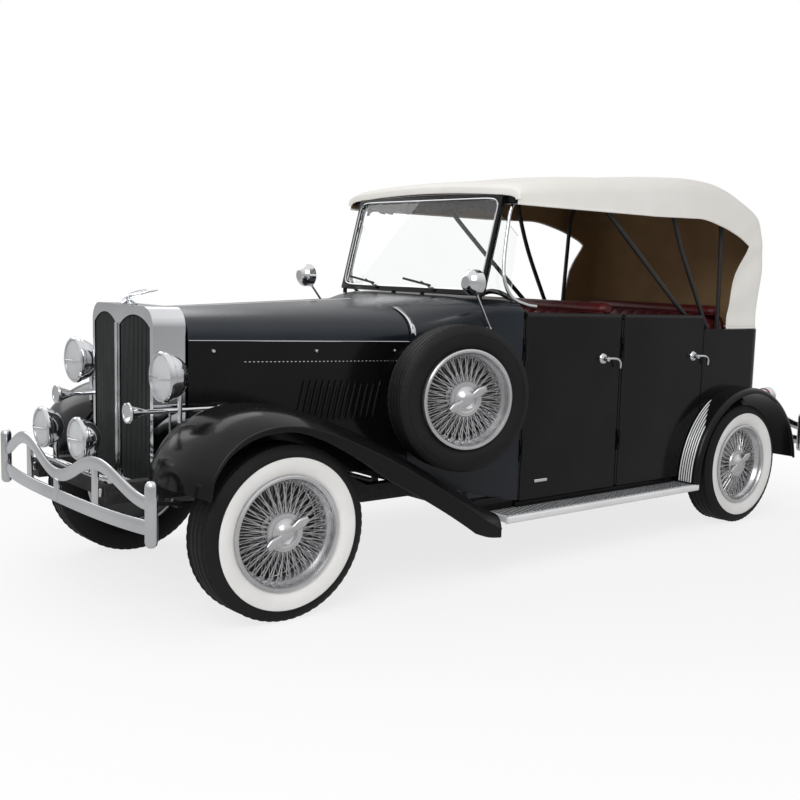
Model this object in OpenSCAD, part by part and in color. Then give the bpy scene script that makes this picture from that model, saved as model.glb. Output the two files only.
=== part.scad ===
// Electric sightseeing car, styled as an open four-door tourer of the 1930s.
// Millimetres. +X is the car's left, -Y its front, +Z up.
// Lengths along the car are stations, measured back from the front axle.

/* [Wheels] */
// Distance between the front and the rear axle
wheelbase = 3150; // [3000:10:3300]
// Distance between the middles of the two tyres of an axle
track = 1410; // [1390:5:1440]
// Outside radius of a tyre
tyre_r = 360; // [350:1:366]
// Width of a tyre across its walls
tyre_w = 190; // [180:1:196]
// Inside radius of a tyre, where it sits on the rim
bead_r = 236; // [230:1:242]
// Outside radius of a spare tyre
spare_r = 338; // [325:1:344]
// Spokes in each of the two rows of a wheel
spoke_count = 20; // [12:1:24]
// Thickness of a spoke
spoke_d = 6; // [4:0.5:8]

/* [Steering] */
// Half the distance between the two kingpins
kingpin_x = 565; // [560:1:570]
// Kingpin diameter
kingpin_d = 24; // [18:1:28]
// Diameter of the stub that a wheel turns on
spindle_d = 40; // [34:1:46]
// Length of a steering arm
steer_arm = 150; // [130:5:170]
// Running clearance of pins and stubs
pin_gap = 0.4; // [0.2:0.1:0.8]

/* [Body] */
// Reach of the car ahead of the front axle
front_overhang = 616; // [606:1:630]
// Reach of the car behind the rear axle
rear_overhang = 780; // [770:5:820]
// Half the width of the body at its widest
body_half = 715; // [708:1:722]
// Thickness of a door or a body wall
wall = 40; // [30:1:46]
// Height of the door tops
belt_z = 1235; // [1215:5:1255]
// Height of the rear body wall
tail_z = 1175; // [1160:5:1200]
// Height of the door bottoms
door_z = 325; // [322:1:345]
// Gap round a door
door_gap = 6; // [5:0.5:9]
// Station of the front doors' hinges
door_front_y = 1345; // [1340:1:1360]
// Station of the rear doors' hinges
door_mid_y = 2075; // [2050:5:2100]
// Station of the rear doors' rear edges
door_rear_y = 2785; // [2760:5:2800]
// Station of the rear body wall
tail_y = 3400; // [3380:5:3430]

/* [Hood] */
// Half the width of the hood at the radiator
hood_front_half = 310; // [304:1:316]
// Half the width of the hood at the cowl
hood_rear_half = 486; // [470:1:495]
// Height of the hood's ridge at the radiator
hood_front_z = 1225; // [1215:1:1235]
// Height of the hood's ridge at the cowl
hood_rear_z = 1282; // [1265:1:1290]
// Height of the hood's side hinges
hood_side_z = 1105; // [1090:1:1120]
// Thickness of the hood's panels
hood_t = 9; // [6:1:12]
// Louvres in each hood side
louvre_count = 12; // [8:1:14]

/* [Radiator] */
// Station of the prow of the radiator shell
prow_y = -350; // [-360:1:-340]
// Half the width of the radiator shell
shell_half = 296; // [288:1:300]
// Rake of the two radiator faces, from the prow to a side
prow_rake = 16; // [10:1:30]
// Width of one grille opening
grille_w = 258; // [240:1:260]
// Bars in each grille opening
grille_bars = 15; // [9:1:19]

/* [Fenders] */
// Outer edge of the front and rear fenders
fender_x = 846; // [840:1:860]
// Thickness of a fender's skin
fender_t = 12; // [8:1:16]
// Radius of the rear fender's arch
rear_arch_r = 532; // [526:1:540]
// Height of a running board's top
board_z = 290; // [285:1:296]

/* [Windshield and top] */
// Half the width of the windshield
screen_half = 585; // [570:1:600]
// Station of the windshield's foot
screen_y = 1172; // [1165:1:1185]
// Height of the windshield's foot
screen_z = 1330; // [1322:1:1345]
// Length of the windshield up its slope
screen_h = 506; // [480:2:520]
// Lean of the windshield from upright, in degrees
screen_lean = 14; // [10:1:18]
// Width of the windshield's frame bars
screen_bar = 24; // [18:1:30]
// Highest point of the canopy
canopy_z = 2047; // [2032:5:2072]
// Half the width of the canopy
canopy_half = 690; // [680:1:700]
// Thickness of the canopy's shell
canopy_t = 22; // [16:1:30]

/* [Hidden] */
$fn = 64;
// The origin lies on the ground under the middle of the car's length
front_axle_y = (front_overhang - wheelbase - rear_overhang) / 2;
wheel_x = track / 2;
seat_gap = 0.3;
// Chassis rails
rail_x = 345;
rail_w = 60;
// Floor heights
floor_z = 420;
rear_floor_z = 600;
floor_t = 20;
// Hood: stations of its two ends, and its foot
hood_y = [-190, 812];
hood_foot_z = 508;
// Rear fender's arch and the foot of the front fender
arch_y = wheelbase + 4;
arch_z = 295;
// The board ends under the rear fender's foot
board_tuck = 38;
board_y = [1150, arch_y - rear_arch_r + board_tuck];
board_t = 28;
// Radius of the body's rear corners in plan
tail_corner_r = 110;
// Clearance of the hood's ends, thickness of the door posts, and the cowl's two ends
lid_gap = 5;
post_t = 12;
cowl_y = [hood_y[1] + lid_gap, door_front_y - door_gap - post_t - seat_gap];
wheel_house_x = 566;

// Helpers
module at_station(y) {
    translate([0, front_axle_y + y, 0]) children();
}
module both_sides() {
    children();
    mirror([1, 0, 0]) children();
}
// A side view, drawn as station and height, carried across the car from x0 to x1
module across(x0, x1) {
    translate([x0, 0, 0]) rotate([90, 0, 90]) linear_extrude(x1 - x0) children();
}
// A front view, drawn as width and height, carried along the car from y0 to y1
module along(y0, y1) {
    translate([0, y1, 0]) rotate([90, 0, 0]) linear_extrude(y1 - y0) children();
}
// A round bar from point a to point b
module rod(a, b, d) {
    v = b - a;
    len = norm(v);
    translate(a) rotate([0, acos(v.z / len), atan2(v.y, v.x)]) cylinder(h = len, d = d);
}
// A solid through rings of equally many points; a ring is one skin out and the other skin back
module loft(rings) {
    n = len(rings[0]);
    m = len(rings);
    walls = [for (i = [0 : m - 2], j = [0 : n - 1]) each
        [[i * n + j, (i + 1) * n + (j + 1) % n, (i + 1) * n + j],
         [i * n + j, i * n + (j + 1) % n, (i + 1) * n + (j + 1) % n]]];
    last = (m - 1) * n;
    ends = [for (j = [0 : n / 2 - 2]) each [[n - 1 - j, n - 2 - j, j + 1, j],
        [last + j, last + j + 1, last + n - 2 - j, last + n - 1 - j]]];
    polyhedron([for (r = rings) each r], concat(walls, ends), convexity = 6);
}
function mix(a, b, t) = a + (b - a) * t;

// Wheels, drawn about a local Z axis that points out of the car
module tyre_solid(r, w) {
    mid = (r + bead_r) / 2;
    rotate_extrude($fn = 96) intersection() {
        translate([mid, 0]) circle(w / 2);
        translate([bead_r, -w]) square([r - bead_r, 2 * w]);
        translate([r - 400, 0]) circle(400);
    }
}
rim_half = 80;
hub_flange_r = 46;
module wire_wheel(hub_bore) {
    rim_r = bead_r - seat_gap;
    difference() {
        union() {
            rotate_extrude($fn = 96) {
                translate([rim_r - 13, -rim_half]) square([13, 2 * rim_half]);
                for (s = [-1, 1]) translate([rim_r - 8, s * rim_half]) circle(7, $fn = 24);
            }
            translate([0, 0, -52]) cylinder(r = 38, h = 110);
            for (z = [-50, 30]) translate([0, 0, z]) cylinder(r = hub_flange_r, h = 8);
            translate([0, 0, 58]) cylinder(r1 = 38, r2 = 22, h = 16);
            for (s = [0, 180]) rotate(s) translate([0, 0, 60]) rotate([90, 0, 90])
                linear_extrude(62) translate([-9, 0]) square([18, 11]);
            for (i = [0 : spoke_count - 1], row = [0, 1]) {
                a = (i + row / 2) * 360 / spoke_count;
                lace = (i % 2 == 0 ? 1 : -1) * 26;
                from = [40 * cos(a), 40 * sin(a), row == 0 ? 34 : -46];
                to = [(rim_r - 6) * cos(a + lace), (rim_r - 6) * sin(a + lace), row == 0 ? -18 : 18];
                rod(from, to, spoke_d, $fn = 8);
            }
        }
        translate([0, 0, -60]) cylinder(d = hub_bore, h = 100);
    }
}
// Turns a wheel's axis out to the left or the right of the car
module wheel_place(y, side) {
    at_station(y) translate([side * wheel_x, 0, tyre_r]) rotate([0, side * 90, 0]) children();
}
module road_tyre(y, side) {
    color([0.05, 0.05, 0.05]) wheel_place(y, side) tyre_solid(tyre_r, tyre_w);
}
module road_wheel(y, side) {
    color([0.8, 0.8, 0.82]) wheel_place(y, side) wire_wheel(spindle_d + 2 * pin_gap);
}
module tyre_front_left() { road_tyre(0, 1); }
module tyre_front_right() { road_tyre(0, -1); }
module tyre_rear_left() { road_tyre(wheelbase, 1); }
module tyre_rear_right() { road_tyre(wheelbase, -1); }
module wheel_front_left() { road_wheel(0, 1); }
module wheel_front_right() { road_wheel(0, -1); }
module wheel_rear_left() { road_wheel(wheelbase, 1); }
module wheel_rear_right() { road_wheel(wheelbase, -1); }

// Spare wheels beside the cowl, their faces turned a little forward
spare_x = 728;
spare_y = 928;
spare_z = 860;
spare_turn = 11;
spare_w = 164;
// The stem reaches the cowl's side
function spare_stem() = (spare_x + 30 * sin(spare_turn) - cowl_half(spare_y + 64) - seat_gap) / cos(spare_turn);
module spare_place() {
    both_sides() at_station(spare_y) translate([spare_x, 0, spare_z])
        rotate([0, 90, -spare_turn]) children();
}
module spare_tyres() {
    color([0.06, 0.06, 0.06]) spare_place() tyre_solid(spare_r, spare_w);
}
module spare_wheels() {
    color([0.8, 0.8, 0.82]) {
        spare_place() wire_wheel(20);
        spare_place() translate([0, 0, -spare_stem()]) cylinder(d = 60, h = spare_stem() - 50);
    }
}

// Chassis
rail_front_y = -565;
rail_low_z = 340;
// The rails rise at the kick to pass over the rear axle
kick_y = wheelbase - 635;
rail_rear_y = wheelbase + 570;
rail_outline = [[rail_front_y, 470], [400, 470], [640, rail_low_z], [kick_y, rail_low_z], [kick_y + 225, 500],
    [rail_rear_y, 500], [rail_rear_y, 580], [kick_y + 190, 580], [kick_y - 27, 420], [670, 420], [430, 550],
    [rail_front_y, 550]];
leaf_r = 2400;
leaf_t = 10;
leaf_count = 3;
// Springs: columns are station of the axle, half length, seat above the axle, underside of the rail
spring_table = [[0, 400, 36, 470], [wheelbase, 396, 46, 500]];
function leaf_top(y, seat_z) = seat_z + leaf_count * leaf_t + leaf_r - sqrt(leaf_r * leaf_r - y * y);
board_iron_t = 24;
// Cross members: columns are station and height of the front lower edge
cross_size = 60;
cross_half = rail_x - rail_w / 2 - seat_gap;
cross_table = [[-530, 480], [700, 350], [kick_y - 215, 350], [kick_y + 245, 510], [rail_rear_y - 80, 510]];
tow_hole_d = 26;
module cross_bar(c) {
    translate([-cross_half, c[0], c[1]]) cube([2 * cross_half, cross_size, cross_size]);
}
module chassis_rails() {
    color([0.1, 0.1, 0.1]) at_station(0) both_sides() {
        across(rail_x - rail_w / 2, rail_x + rail_w / 2) polygon(rail_outline);
        spring_hangers();
    }
}
module cross_members() {
    color([0.1, 0.1, 0.1]) at_station(0) for (k = [1 : 3]) cross_bar(cross_table[k]);
}
// Foremost and rearmost cross members, each with an upright tow hole
module tow_members() {
    color([0.1, 0.1, 0.1]) at_station(0) for (c = [cross_table[0], cross_table[4]]) difference() {
        cross_bar(c);
        translate([0, c[0] + cross_size / 2, c[1] - 1]) cylinder(d = tow_hole_d, h = cross_size + 2);
    }
}
module spring_hangers() {
    for (sp = spring_table, s = [-1, 1]) {
        low = leaf_top(sp[1] - 4, axle_z + sp[2]) + seat_gap;
        translate([rail_x - 25, sp[0] + s * (sp[1] - 14) - 10, low]) cube([50, 20, sp[3] + 5 - low]);
    }
}
// Irons that drop from the rails' outer faces and reach under the running boards
module board_irons() {
    low = board_z - board_t - board_iron_t;
    inner = rail_x + rail_w / 2 + seat_gap;
    color([0.1, 0.1, 0.1]) at_station(0) both_sides() for (y = [1250, 1760, 2280]) {
        translate([inner, y, low]) cube([14, 40, rail_low_z + 50 - low]);
        translate([inner, y, low]) cube([board_x[1] - 80 - inner, 40, board_iron_t]);
    }
}
axle_z = tyre_r;
module front_axle() {
    color([0.12, 0.12, 0.12]) at_station(0) {
        difference() {
            union() {
                translate([-kingpin_x, -26, axle_z - 22]) cube([2 * kingpin_x, 52, 44]);
                both_sides() translate([kingpin_x, 0, axle_z - 40]) cylinder(r = 32, h = 80);
            }
            both_sides() translate([kingpin_x, 0, axle_z - 60])
                cylinder(d = kingpin_d + 2 * pin_gap, h = 120);
        }
        both_sides() translate([rail_x - 30, -45, axle_z + 22]) cube([60, 90, 14]);
    }
}
knuckle_gap = 2;
module knuckle() {
    plate = 14;
    low = axle_z - 40 - knuckle_gap - plate;
    high = axle_z + 40 + knuckle_gap;
    translate([kingpin_x, 0, low]) cylinder(d = kingpin_d, h = high + plate - low);
    for (z = [low, high]) {
        translate([kingpin_x, 0, z]) cylinder(r = 30, h = plate);
        translate([kingpin_x, -24, z]) cube([48, 48, plate]);
    }
    translate([kingpin_x + 37, -24, low]) cube([11, 48, high + plate - low]);
    translate([kingpin_x + 40, 0, axle_z]) rotate([0, 90, 0]) cylinder(d = spindle_d, h = 130);
}
tie_rod_z = axle_z - 40 - knuckle_gap - 14;
module steer_arm_pair(side) {
    x = side * kingpin_x;
    difference() {
        union() {
            translate([x - 12, 0, tie_rod_z]) cube([24, steer_arm, 14]);
            translate([x, steer_arm, tie_rod_z]) cylinder(r = 18, h = 14);
        }
        translate([x, steer_arm, tie_rod_z - 1]) cylinder(d = 12 + 2 * pin_gap, h = 16);
    }
}
module knuckle_left() {
    color([0.2, 0.2, 0.2]) at_station(0) {
        knuckle();
        steer_arm_pair(1);
    }
}
module knuckle_right() {
    color([0.2, 0.2, 0.2]) at_station(0) {
        mirror([1, 0, 0]) knuckle();
        steer_arm_pair(-1);
    }
}
module tie_rod() {
    z = tie_rod_z - 20;
    color([0.3, 0.3, 0.3]) at_station(steer_arm) {
        rod([-kingpin_x, 0, z], [kingpin_x, 0, z], 22);
        both_sides() {
            translate([kingpin_x, 0, z - 15]) cylinder(r = 16, h = 30);
            translate([kingpin_x, 0, z]) cylinder(d = 12, h = 38);
        }
    }
}
drum_x = 556;
gearcase_r = 118;
motor_d = 180;
module rear_axle() {
    color([0.12, 0.12, 0.12]) at_station(wheelbase) {
        rod([-drum_x, 0, axle_z], [drum_x, 0, axle_z], 84);
        translate([0, 0, axle_z]) rotate([0, 90, 0]) rotate_extrude()
            polygon([[0, -110], [60, -110], [gearcase_r, -60], [gearcase_r, 60], [60, 110], [0, 110]]);
        rod([0, -320, axle_z], [0, 0, axle_z], motor_d);
        both_sides() {
            translate([drum_x, 0, axle_z]) rotate([0, 90, 0]) cylinder(r = 130, h = 38);
            rod([drum_x, 0, axle_z], [wheel_x + 30, 0, axle_z], spindle_d);
            translate([rail_x - 30, -60, axle_z + 30]) cube([60, 120, 16]);
        }
    }
}
// A pack of leaves, shortest at the axle; the longest rises to the rail's hangers
module leaf_pack(half, seat_z) {
    across(rail_x - 25, rail_x + 25) for (k = [0 : leaf_count - 1]) intersection() {
        difference() {
            translate([0, seat_z + leaf_r + k * leaf_t]) circle(leaf_r, $fn = 720);
            translate([0, seat_z + leaf_r + (k + 1) * leaf_t]) circle(leaf_r, $fn = 720);
        }
        translate([-half * (k + 1) / leaf_count, seat_z - 20]) square([2 * half * (k + 1) / leaf_count, 160]);
    }
}
module leaf_springs() {
    color([0.15, 0.15, 0.15]) both_sides() for (sp = spring_table)
        at_station(sp[0]) leaf_pack(sp[1], axle_z + sp[2]);
}
module battery_pack() {
    half = rail_x - rail_w / 2 - 25;
    front = 1320;
    height = 215;
    color([0.2, 0.22, 0.25]) at_station(front)
        translate([-half, 0, floor_z - height]) cube([2 * half, cross_table[2][0] - cross_size - front, height]);
}
// The floor steps up ahead of the rear arch
step_lead = 137;
floor_step_y = arch_y - rear_arch_r - step_lead;
module floor_pan() {
    inner = body_half - wall - 5;
    toe_y = hood_y[1] + 60;
    side_run = arch_y - rear_arch_r - floor_step_y;
    edge = concat([for (c = cowl_table) [c[1] - cowl_t - 4, cowl_station(c)]],
        [[inner, cowl_y[1] + 1], [inner, tail_y]]);
    color([0.1, 0.1, 0.1]) at_station(0) {
        difference() {
            intersection() {
                across(-inner, inner) polygon([[toe_y, 760], [930, floor_z], [floor_step_y, floor_z],
                    [floor_step_y, floor_z + floor_t], [940, floor_z + floor_t], [toe_y + 18, 770]]);
                linear_extrude(1000) polygon(concat(edge,
                    [for (i = [len(edge) - 1 : -1 : 0]) [-edge[i][0], edge[i][1]]]));
            }
            wheel_house_cut();
        }
        across(-wheel_house_x + 6, wheel_house_x - 6) polygon([[floor_step_y - floor_t, floor_z],
            [floor_step_y, floor_z], [floor_step_y, rear_floor_z - floor_t],
            [tail_y - wall - 6, rear_floor_z - floor_t], [tail_y - wall - 6, rear_floor_z],
            [floor_step_y - floor_t, rear_floor_z]]);
        both_sides() {
            translate([wheel_house_x - 26, floor_step_y - 1, floor_z]) {
                cube([20, side_run, rear_floor_z - floor_z]);
                cube([inner - wheel_house_x + 26, side_run, floor_t]);
            }
        }
    }
}

// Body walls in plan, drawn back from the front axle; round corners at the tail
module body_plan(inset) {
    half = body_half - inset;
    r = tail_corner_r - inset;
    end = tail_y - inset;
    translate([-half, 0]) square([2 * half, end - r]);
    translate([-half + r, 0]) square([2 * (half - r), end]);
    for (s = [-1, 1]) translate([s * (half - r), end - r]) circle(r);
}
module body_wall(z0, z1) {
    translate([0, 0, z0]) linear_extrude(z1 - z0) difference() {
        body_plan(0);
        body_plan(wall);
    }
}
// Room of the rear fenders outside the wheel houses' inner walls
module wheel_house_cut() {
    both_sides() across(wheel_house_x - 6, 2000)
        translate([arch_y, arch_z]) circle(rear_arch_r + seat_gap, $fn = 180);
}
// The solid that the rear fender's arch takes out of the body
module arch_cut(extra) {
    across(-2000, 2000) translate([arch_y, arch_z]) circle(rear_arch_r + extra, $fn = 180);
}
// Barrel hinges: the middle barrels belong to the door, the ones above and below to its post
hinge_r = 9;
hinge_x = body_half + hinge_r + 1;
hinge_root = 2;
hinge_back = 3;
barrel_h = 36;
// Heights of the two hinges of a door
hinge_z = [560, 1060];
module hinge_barrel(y, z) {
    translate([hinge_x, y - hinge_back, z]) cylinder(r = hinge_r, h = barrel_h, $fn = 32);
}
module door(y0, y1, side) {
    color([0.03, 0.03, 0.03]) at_station(0) {
        difference() {
            intersection() {
                body_wall(door_z, belt_z);
                translate([side > 0 ? 300 : -1300, y0, 0]) cube([1000, y1 - y0, 2000]);
            }
            arch_cut(door_gap + guard_t + seat_gap);
        }
        mirror([side > 0 ? 0 : 1, 0, 0]) for (z = hinge_z) {
            hinge_barrel(y0, z);
            translate([body_half - hinge_root, y0, z])
                cube([hinge_x + hinge_root - body_half, hinge_r - hinge_back, barrel_h]);
        }
    }
}
door_post_y = door_mid_y - door_gap - post_t;
module door_front_left() { door(door_front_y, door_post_y - door_gap, 1); }
module door_front_right() { door(door_front_y, door_post_y - door_gap, -1); }
module door_rear_left() { door(door_mid_y, door_rear_y, 1); }
module door_rear_right() { door(door_mid_y, door_rear_y, -1); }
// Rear quarters and tail wall, and the posts that the doors hang on
module rear_body() {
    color([0.03, 0.03, 0.03]) at_station(0) {
        difference() {
            intersection() {
                body_wall(door_z, tail_z);
                translate([-1000, door_rear_y + door_gap, 0]) cube([2000, 1000, 2000]);
            }
            arch_cut(seat_gap);
        }
        for (y = [door_front_y, door_mid_y]) door_posts(y);
    }
}
module door_posts(y) {
    intersection() {
        body_wall(door_z + 8, belt_z - 12);
        translate([-1000, y - door_gap - post_t, 0]) cube([2000, post_t, 2000]);
    }
    both_sides() {
        translate([600, y - door_gap - post_t, floor_z + floor_t + seat_gap])
            cube([body_half - wall - 600, post_t, 14]);
        for (z = hinge_z, dz = [-1, 1]) {
            hinge_barrel(y, z + dz * (barrel_h + pin_gap));
            translate([body_half - hinge_root, y - door_gap - post_t, z + dz * (barrel_h + pin_gap)])
                cube([hinge_x + hinge_root - body_half, post_t, barrel_h]);
        }
    }
}

// Hood and cowl sections: an arch from the side hinge over the ridge, squarer as e falls
hood_e = 0.72;
function arch_point(half, z0, z1, a, e = hood_e) =
    [half * pow(cos(a), e), z0 + (z1 - z0) * pow(sin(a), e + 0.06)];
hood_angles = [for (k = [0 : 8]) k * 11.25];
function hood_half(y) = mix(hood_front_half, hood_rear_half, (y - hood_y[0]) / (hood_y[1] - hood_y[0]));
function hood_top(y) = mix(hood_front_z, hood_rear_z, (y - hood_y[0]) / (hood_y[1] - hood_y[0]));
ridge_gap = 3;
// One ring of a hood half at a station: outer skin up to the ridge, inner skin back
function hood_ring(y) = let (h = hood_half(y), z = hood_top(y))
    concat(
        [for (a = hood_angles) let (p = arch_point(h, hood_side_z, z, a)) [max(p.x, ridge_gap), y, p.y]],
        [for (k = [8 : -1 : 0]) let (p = arch_point(h - hood_t, hood_side_z, z - hood_t, hood_angles[k]))
            [max(p.x, ridge_gap), y, p.y]]);
module hood_half_solid() {
    loft([for (k = [0 : 4]) hood_ring(mix(hood_y[0], hood_y[1], k / 4))]);
}
module hood_left() {
    color([0.05, 0.06, 0.07]) at_station(0) hood_half_solid();
}
module hood_right() {
    color([0.05, 0.06, 0.07]) at_station(0) mirror([1, 0, 0]) hood_half_solid();
}
// Louvred side: a plate that follows the hood's taper, with slanted raised louvres
side_lean = atan2(hood_rear_half - hood_front_half, hood_y[1] - hood_y[0]);
module hood_sides() {
    length = (hood_y[1] - hood_y[0]) / cos(side_lean);
    rail_run = 470;
    color([0.04, 0.05, 0.06]) both_sides() at_station(hood_y[0])
        translate([hood_front_half, 0, 0]) rotate(-side_lean) {
            across(-hood_t, 0) polygon([[0, rail_top_z + seat_gap], [rail_run, rail_top_z + seat_gap],
                [rail_run, hood_foot_z], [length, hood_foot_z], [length, hood_side_z - lid_gap],
                [0, hood_side_z - lid_gap]]);
            for (i = [0 : louvre_count - 1])
                across(-1, 9) polygon([[462 + i * 30, 752], [474 + i * 30, 752],
                    [514 + i * 30, 930], [502 + i * 30, 930]]);
        }
}
// Cowl ring at a station: outer skin from the left foot over the top to the right foot, then inside
cowl_t = 26;
cowl_angles = [for (k = [0 : 14]) 90 * (1 - cos(k * 180 / 14))];
function cowl_arch(half, top, side_z, y, e, foot) = concat([[half, y, foot]],
    [for (a = cowl_angles) let (p = arch_point(half, side_z, top, a <= 90 ? a : 180 - a, e))
        [a <= 90 ? p.x : -p.x, y, p.y]], [[-half, y, foot]]);
function reversed(v) = [for (i = [len(v) - 1 : -1 : 0]) v[i]];
// Columns: share of the way back, half width, heights of top and shoulder, squareness, height of the foot
cowl_table = [[0, 489, 1282, 1105, 0.72, 430], [0.35, 560, 1300, 1160, 0.6, 405],
    [0.68, 648, 1317, 1215, 0.45, 360], [1, body_half, 1322, 1222, 0.42, 332]];
function cowl_station(c) = mix(cowl_y[0], cowl_y[1], c[0]);
function cowl_half(y) = lookup(y, [for (c = cowl_table) [cowl_station(c), c[1]]]);
// Height of the cowl's skin at the windshield's foot, at a distance x from the middle
function cowl_skin(x) = let (c = cowl_table[2], a = acos(pow(x / c[1], 1 / c[4])))
    arch_point(c[1], c[3], c[2], a, c[4]).y;
function cowl_ring(c) = concat(
    cowl_arch(c[1], c[2], c[3], cowl_station(c), c[4], c[5]),
    reversed(cowl_arch(c[1] - cowl_t, c[2] - cowl_t, c[3], cowl_station(c), c[4], c[5])));
module cowl() {
    color([0.04, 0.04, 0.05]) at_station(0) loft([for (c = cowl_table) cowl_ring(c)]);
}
firewall_t = 14;
firewall_y = cowl_y[0] + 0.5;
module firewall() {
    c = cowl_table[0];
    inset = cowl_t + seat_gap;
    color([0.12, 0.12, 0.13]) at_station(0) along(firewall_y, firewall_y + firewall_t) intersection() {
        polygon([for (p = cowl_arch(c[1] - inset, c[2] - inset, c[3], 0, c[4], floor_z)) [p.x, p.z]]);
        translate([-c[1], floor_z + seat_gap]) square([2 * c[1], c[2]]);
    }
}

// Radiator shell between the rails: two faces meeting in a shallow prow, each with a round-topped opening
rail_top_z = 550;
shell_z = [480, 1236];
module prow_plan(inset) {
    polygon([[0, prow_y + inset], [shell_half - inset, prow_y + prow_rake + inset],
        [shell_half - inset, hood_y[0] - lid_gap + inset], [-shell_half + inset, hood_y[0] - lid_gap + inset],
        [-shell_half + inset, prow_y + prow_rake + inset]]);
}
module shell_front_view(inset) {
    corner = 80 - inset;
    half = shell_half - inset;
    low = shell_z[0] + inset;
    height = shell_z[1] - inset - low;
    translate([-half, low]) square([2 * half, height - corner]);
    translate([-half + corner, low]) square([2 * (half - corner), height]);
    for (s = [-1, 1]) translate([s * (half - corner), low + height - corner]) circle(corner);
}
grille_x0 = 14;
grille_z = [508, 1200];
// Radii of the opening's top and of its lower corners
grille_crown_r = 197;
grille_foot_r = 45;
module grille_opening(inset) {
    half = grille_w / 2 - inset;
    low = grille_z[0] + inset;
    spring = grille_z[1] - grille_crown_r + 100;
    translate([grille_x0 + grille_w / 2, 0]) {
        translate([-half, low + grille_foot_r]) square([2 * half, spring - low - grille_foot_r]);
        translate([-half + grille_foot_r, low]) square([2 * (half - grille_foot_r), grille_foot_r]);
        for (s = [-1, 1]) translate([s * (half - grille_foot_r), low + grille_foot_r]) circle(grille_foot_r);
        intersection() {
            translate([-half, spring]) square([2 * half, grille_crown_r]);
            translate([0, grille_z[1] - grille_crown_r]) circle(grille_crown_r - inset, $fn = 128);
        }
    }
}
ridge_rod_d = 5;
module radiator_shell() {
    skin = 20;
    color([0.85, 0.85, 0.87]) at_station(0) both_sides()
        translate([shell_half - 10, prow_y + 50, rail_top_z + seat_gap])
            cube([rail_x - shell_half + 10, 90, 14]);
    color([0.85, 0.85, 0.87]) at_station(0) rod([0, hood_y[0] - lid_gap, hood_top(hood_y[0] - lid_gap)],
        [0, cowl_y[0], hood_top(cowl_y[0])], ridge_rod_d);
    color([0.85, 0.85, 0.87]) at_station(0) difference() {
        intersection() {
            along(prow_y - 10, hood_y[0]) shell_front_view(0);
            linear_extrude(2000) prow_plan(0);
        }
        intersection() {
            along(prow_y - 10, hood_y[0]) shell_front_view(skin);
            linear_extrude(2000) prow_plan(skin);
        }
        both_sides() along(prow_y - 20, hood_y[0] - 40) grille_opening(0);
        along(hood_y[0] - 40, hood_y[0] + 10) translate([-shell_half + 60, shell_z[0] + 60])
            square([2 * shell_half - 120, shell_z[1] - shell_z[0] - 130]);
    }
}
module radiator_grille() {
    pitch = grille_w / (grille_bars + 1);
    rake = atan2(prow_rake, shell_half);
    color([0.2, 0.22, 0.22]) at_station(0) both_sides() intersection() {
        along(prow_y - 20, hood_y[0]) grille_opening(seat_gap);
        translate([0, prow_y + 7, 0]) rotate(rake) union() {
            translate([0, 8, 0]) cube([400, 4, 1300]);
            for (i = [1 : grille_bars]) translate([grille_x0 + i * pitch, 0, 0]) cube([5, 10, 1300]);
        }
    }
}

// Lamps: columns are half distance apart, station and height of the lens, lens radius, post foot
head = [434, -357, 968, 96];
fog = [186, -590, 709, 80];
module lamp_body(l) {
    r = l[3];
    bulge = 0.08 * r;
    translate([l[0], l[1], l[2]]) rotate([-90, 0, 0]) {
        rotate_extrude() intersection() {
            translate([-bulge, 0]) circle(r + bulge, $fn = 128);
            square([2 * r, 3 * r]);
        }
        translate([0, 0, -4]) cylinder(r = r + 3, h = 12);
    }
}
module lens(l) {
    r = l[3];
    translate([l[0], l[1] - 4 - seat_gap, l[2]]) rotate([90, 0, 0]) rotate_extrude($fn = 128) intersection() {
        translate([0, -1.8 * r]) circle(2.06 * r, $fn = 256);
        square([r - 8, r]);
    }
}
module lamps() {
    color([0.85, 0.85, 0.87]) at_station(0) {
        both_sides() {
            lamp_body(head);
            rod([head[0], head[1] + 70, head[2] - 60],
                [head[0], head[1] + 70, fender_top(head[1] + 70, head[0], 9)], 18);
            lamp_body(fog);
            rod([fog[0], fog[1] + 50, fog[2] - 50], [fog[0], fog[1] + 50, 560], 22);
        }
        rod([-rail_x - 20, fog[1] + 50, 562.3], [rail_x + 20, fog[1] + 50, 562.3], 24);
    }
}
module lamp_lenses() {
    color([0.9, 0.92, 0.95]) at_station(0) both_sides() {
        lens(head);
        lens(fog);
    }
}
// Round tail lamps on posts from the rear fenders
tail_lamp = [640, arch_y + 406, arch_z + rear_arch_r - 87, 52];
module tail_lamps() {
    post_y = 30;
    post_d = 22;
    foot = arch_z + seat_gap
        + sqrt(pow(rear_arch_r, 2) - pow(tail_lamp[1] + post_y - post_d / 2 - arch_y, 2));
    color([0.6, 0.05, 0.05]) at_station(0) both_sides() translate([tail_lamp[0], tail_lamp[1], tail_lamp[2]]) {
        rotate([-90, 0, 0]) {
            cylinder(r = tail_lamp[3], h = 60);
            translate([0, 0, 60]) cylinder(r1 = tail_lamp[3], r2 = tail_lamp[3] - 12, h = 12);
        }
        rod([0, post_y, 0], [0, post_y, foot - tail_lamp[2]], post_d);
    }
}
// Trumpet horns between the radiator and the fenders
horn_x = 362;
horn_z = 824;
module horns() {
    color([0.85, 0.85, 0.87]) at_station(0) both_sides() translate([horn_x, 0, horn_z]) {
        rotate([-90, 0, 0]) {
            translate([0, 0, -470]) cylinder(r1 = 36, r2 = 10, h = 75);
            translate([0, 0, -397]) cylinder(r = 10, h = 306);
            translate([0, 0, -92]) cylinder(r = 16, h = 66);
        }
        rod([0, -230, 0], [0, -230, rail_top_z + seat_gap - horn_z], 12);
    }
}

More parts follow.
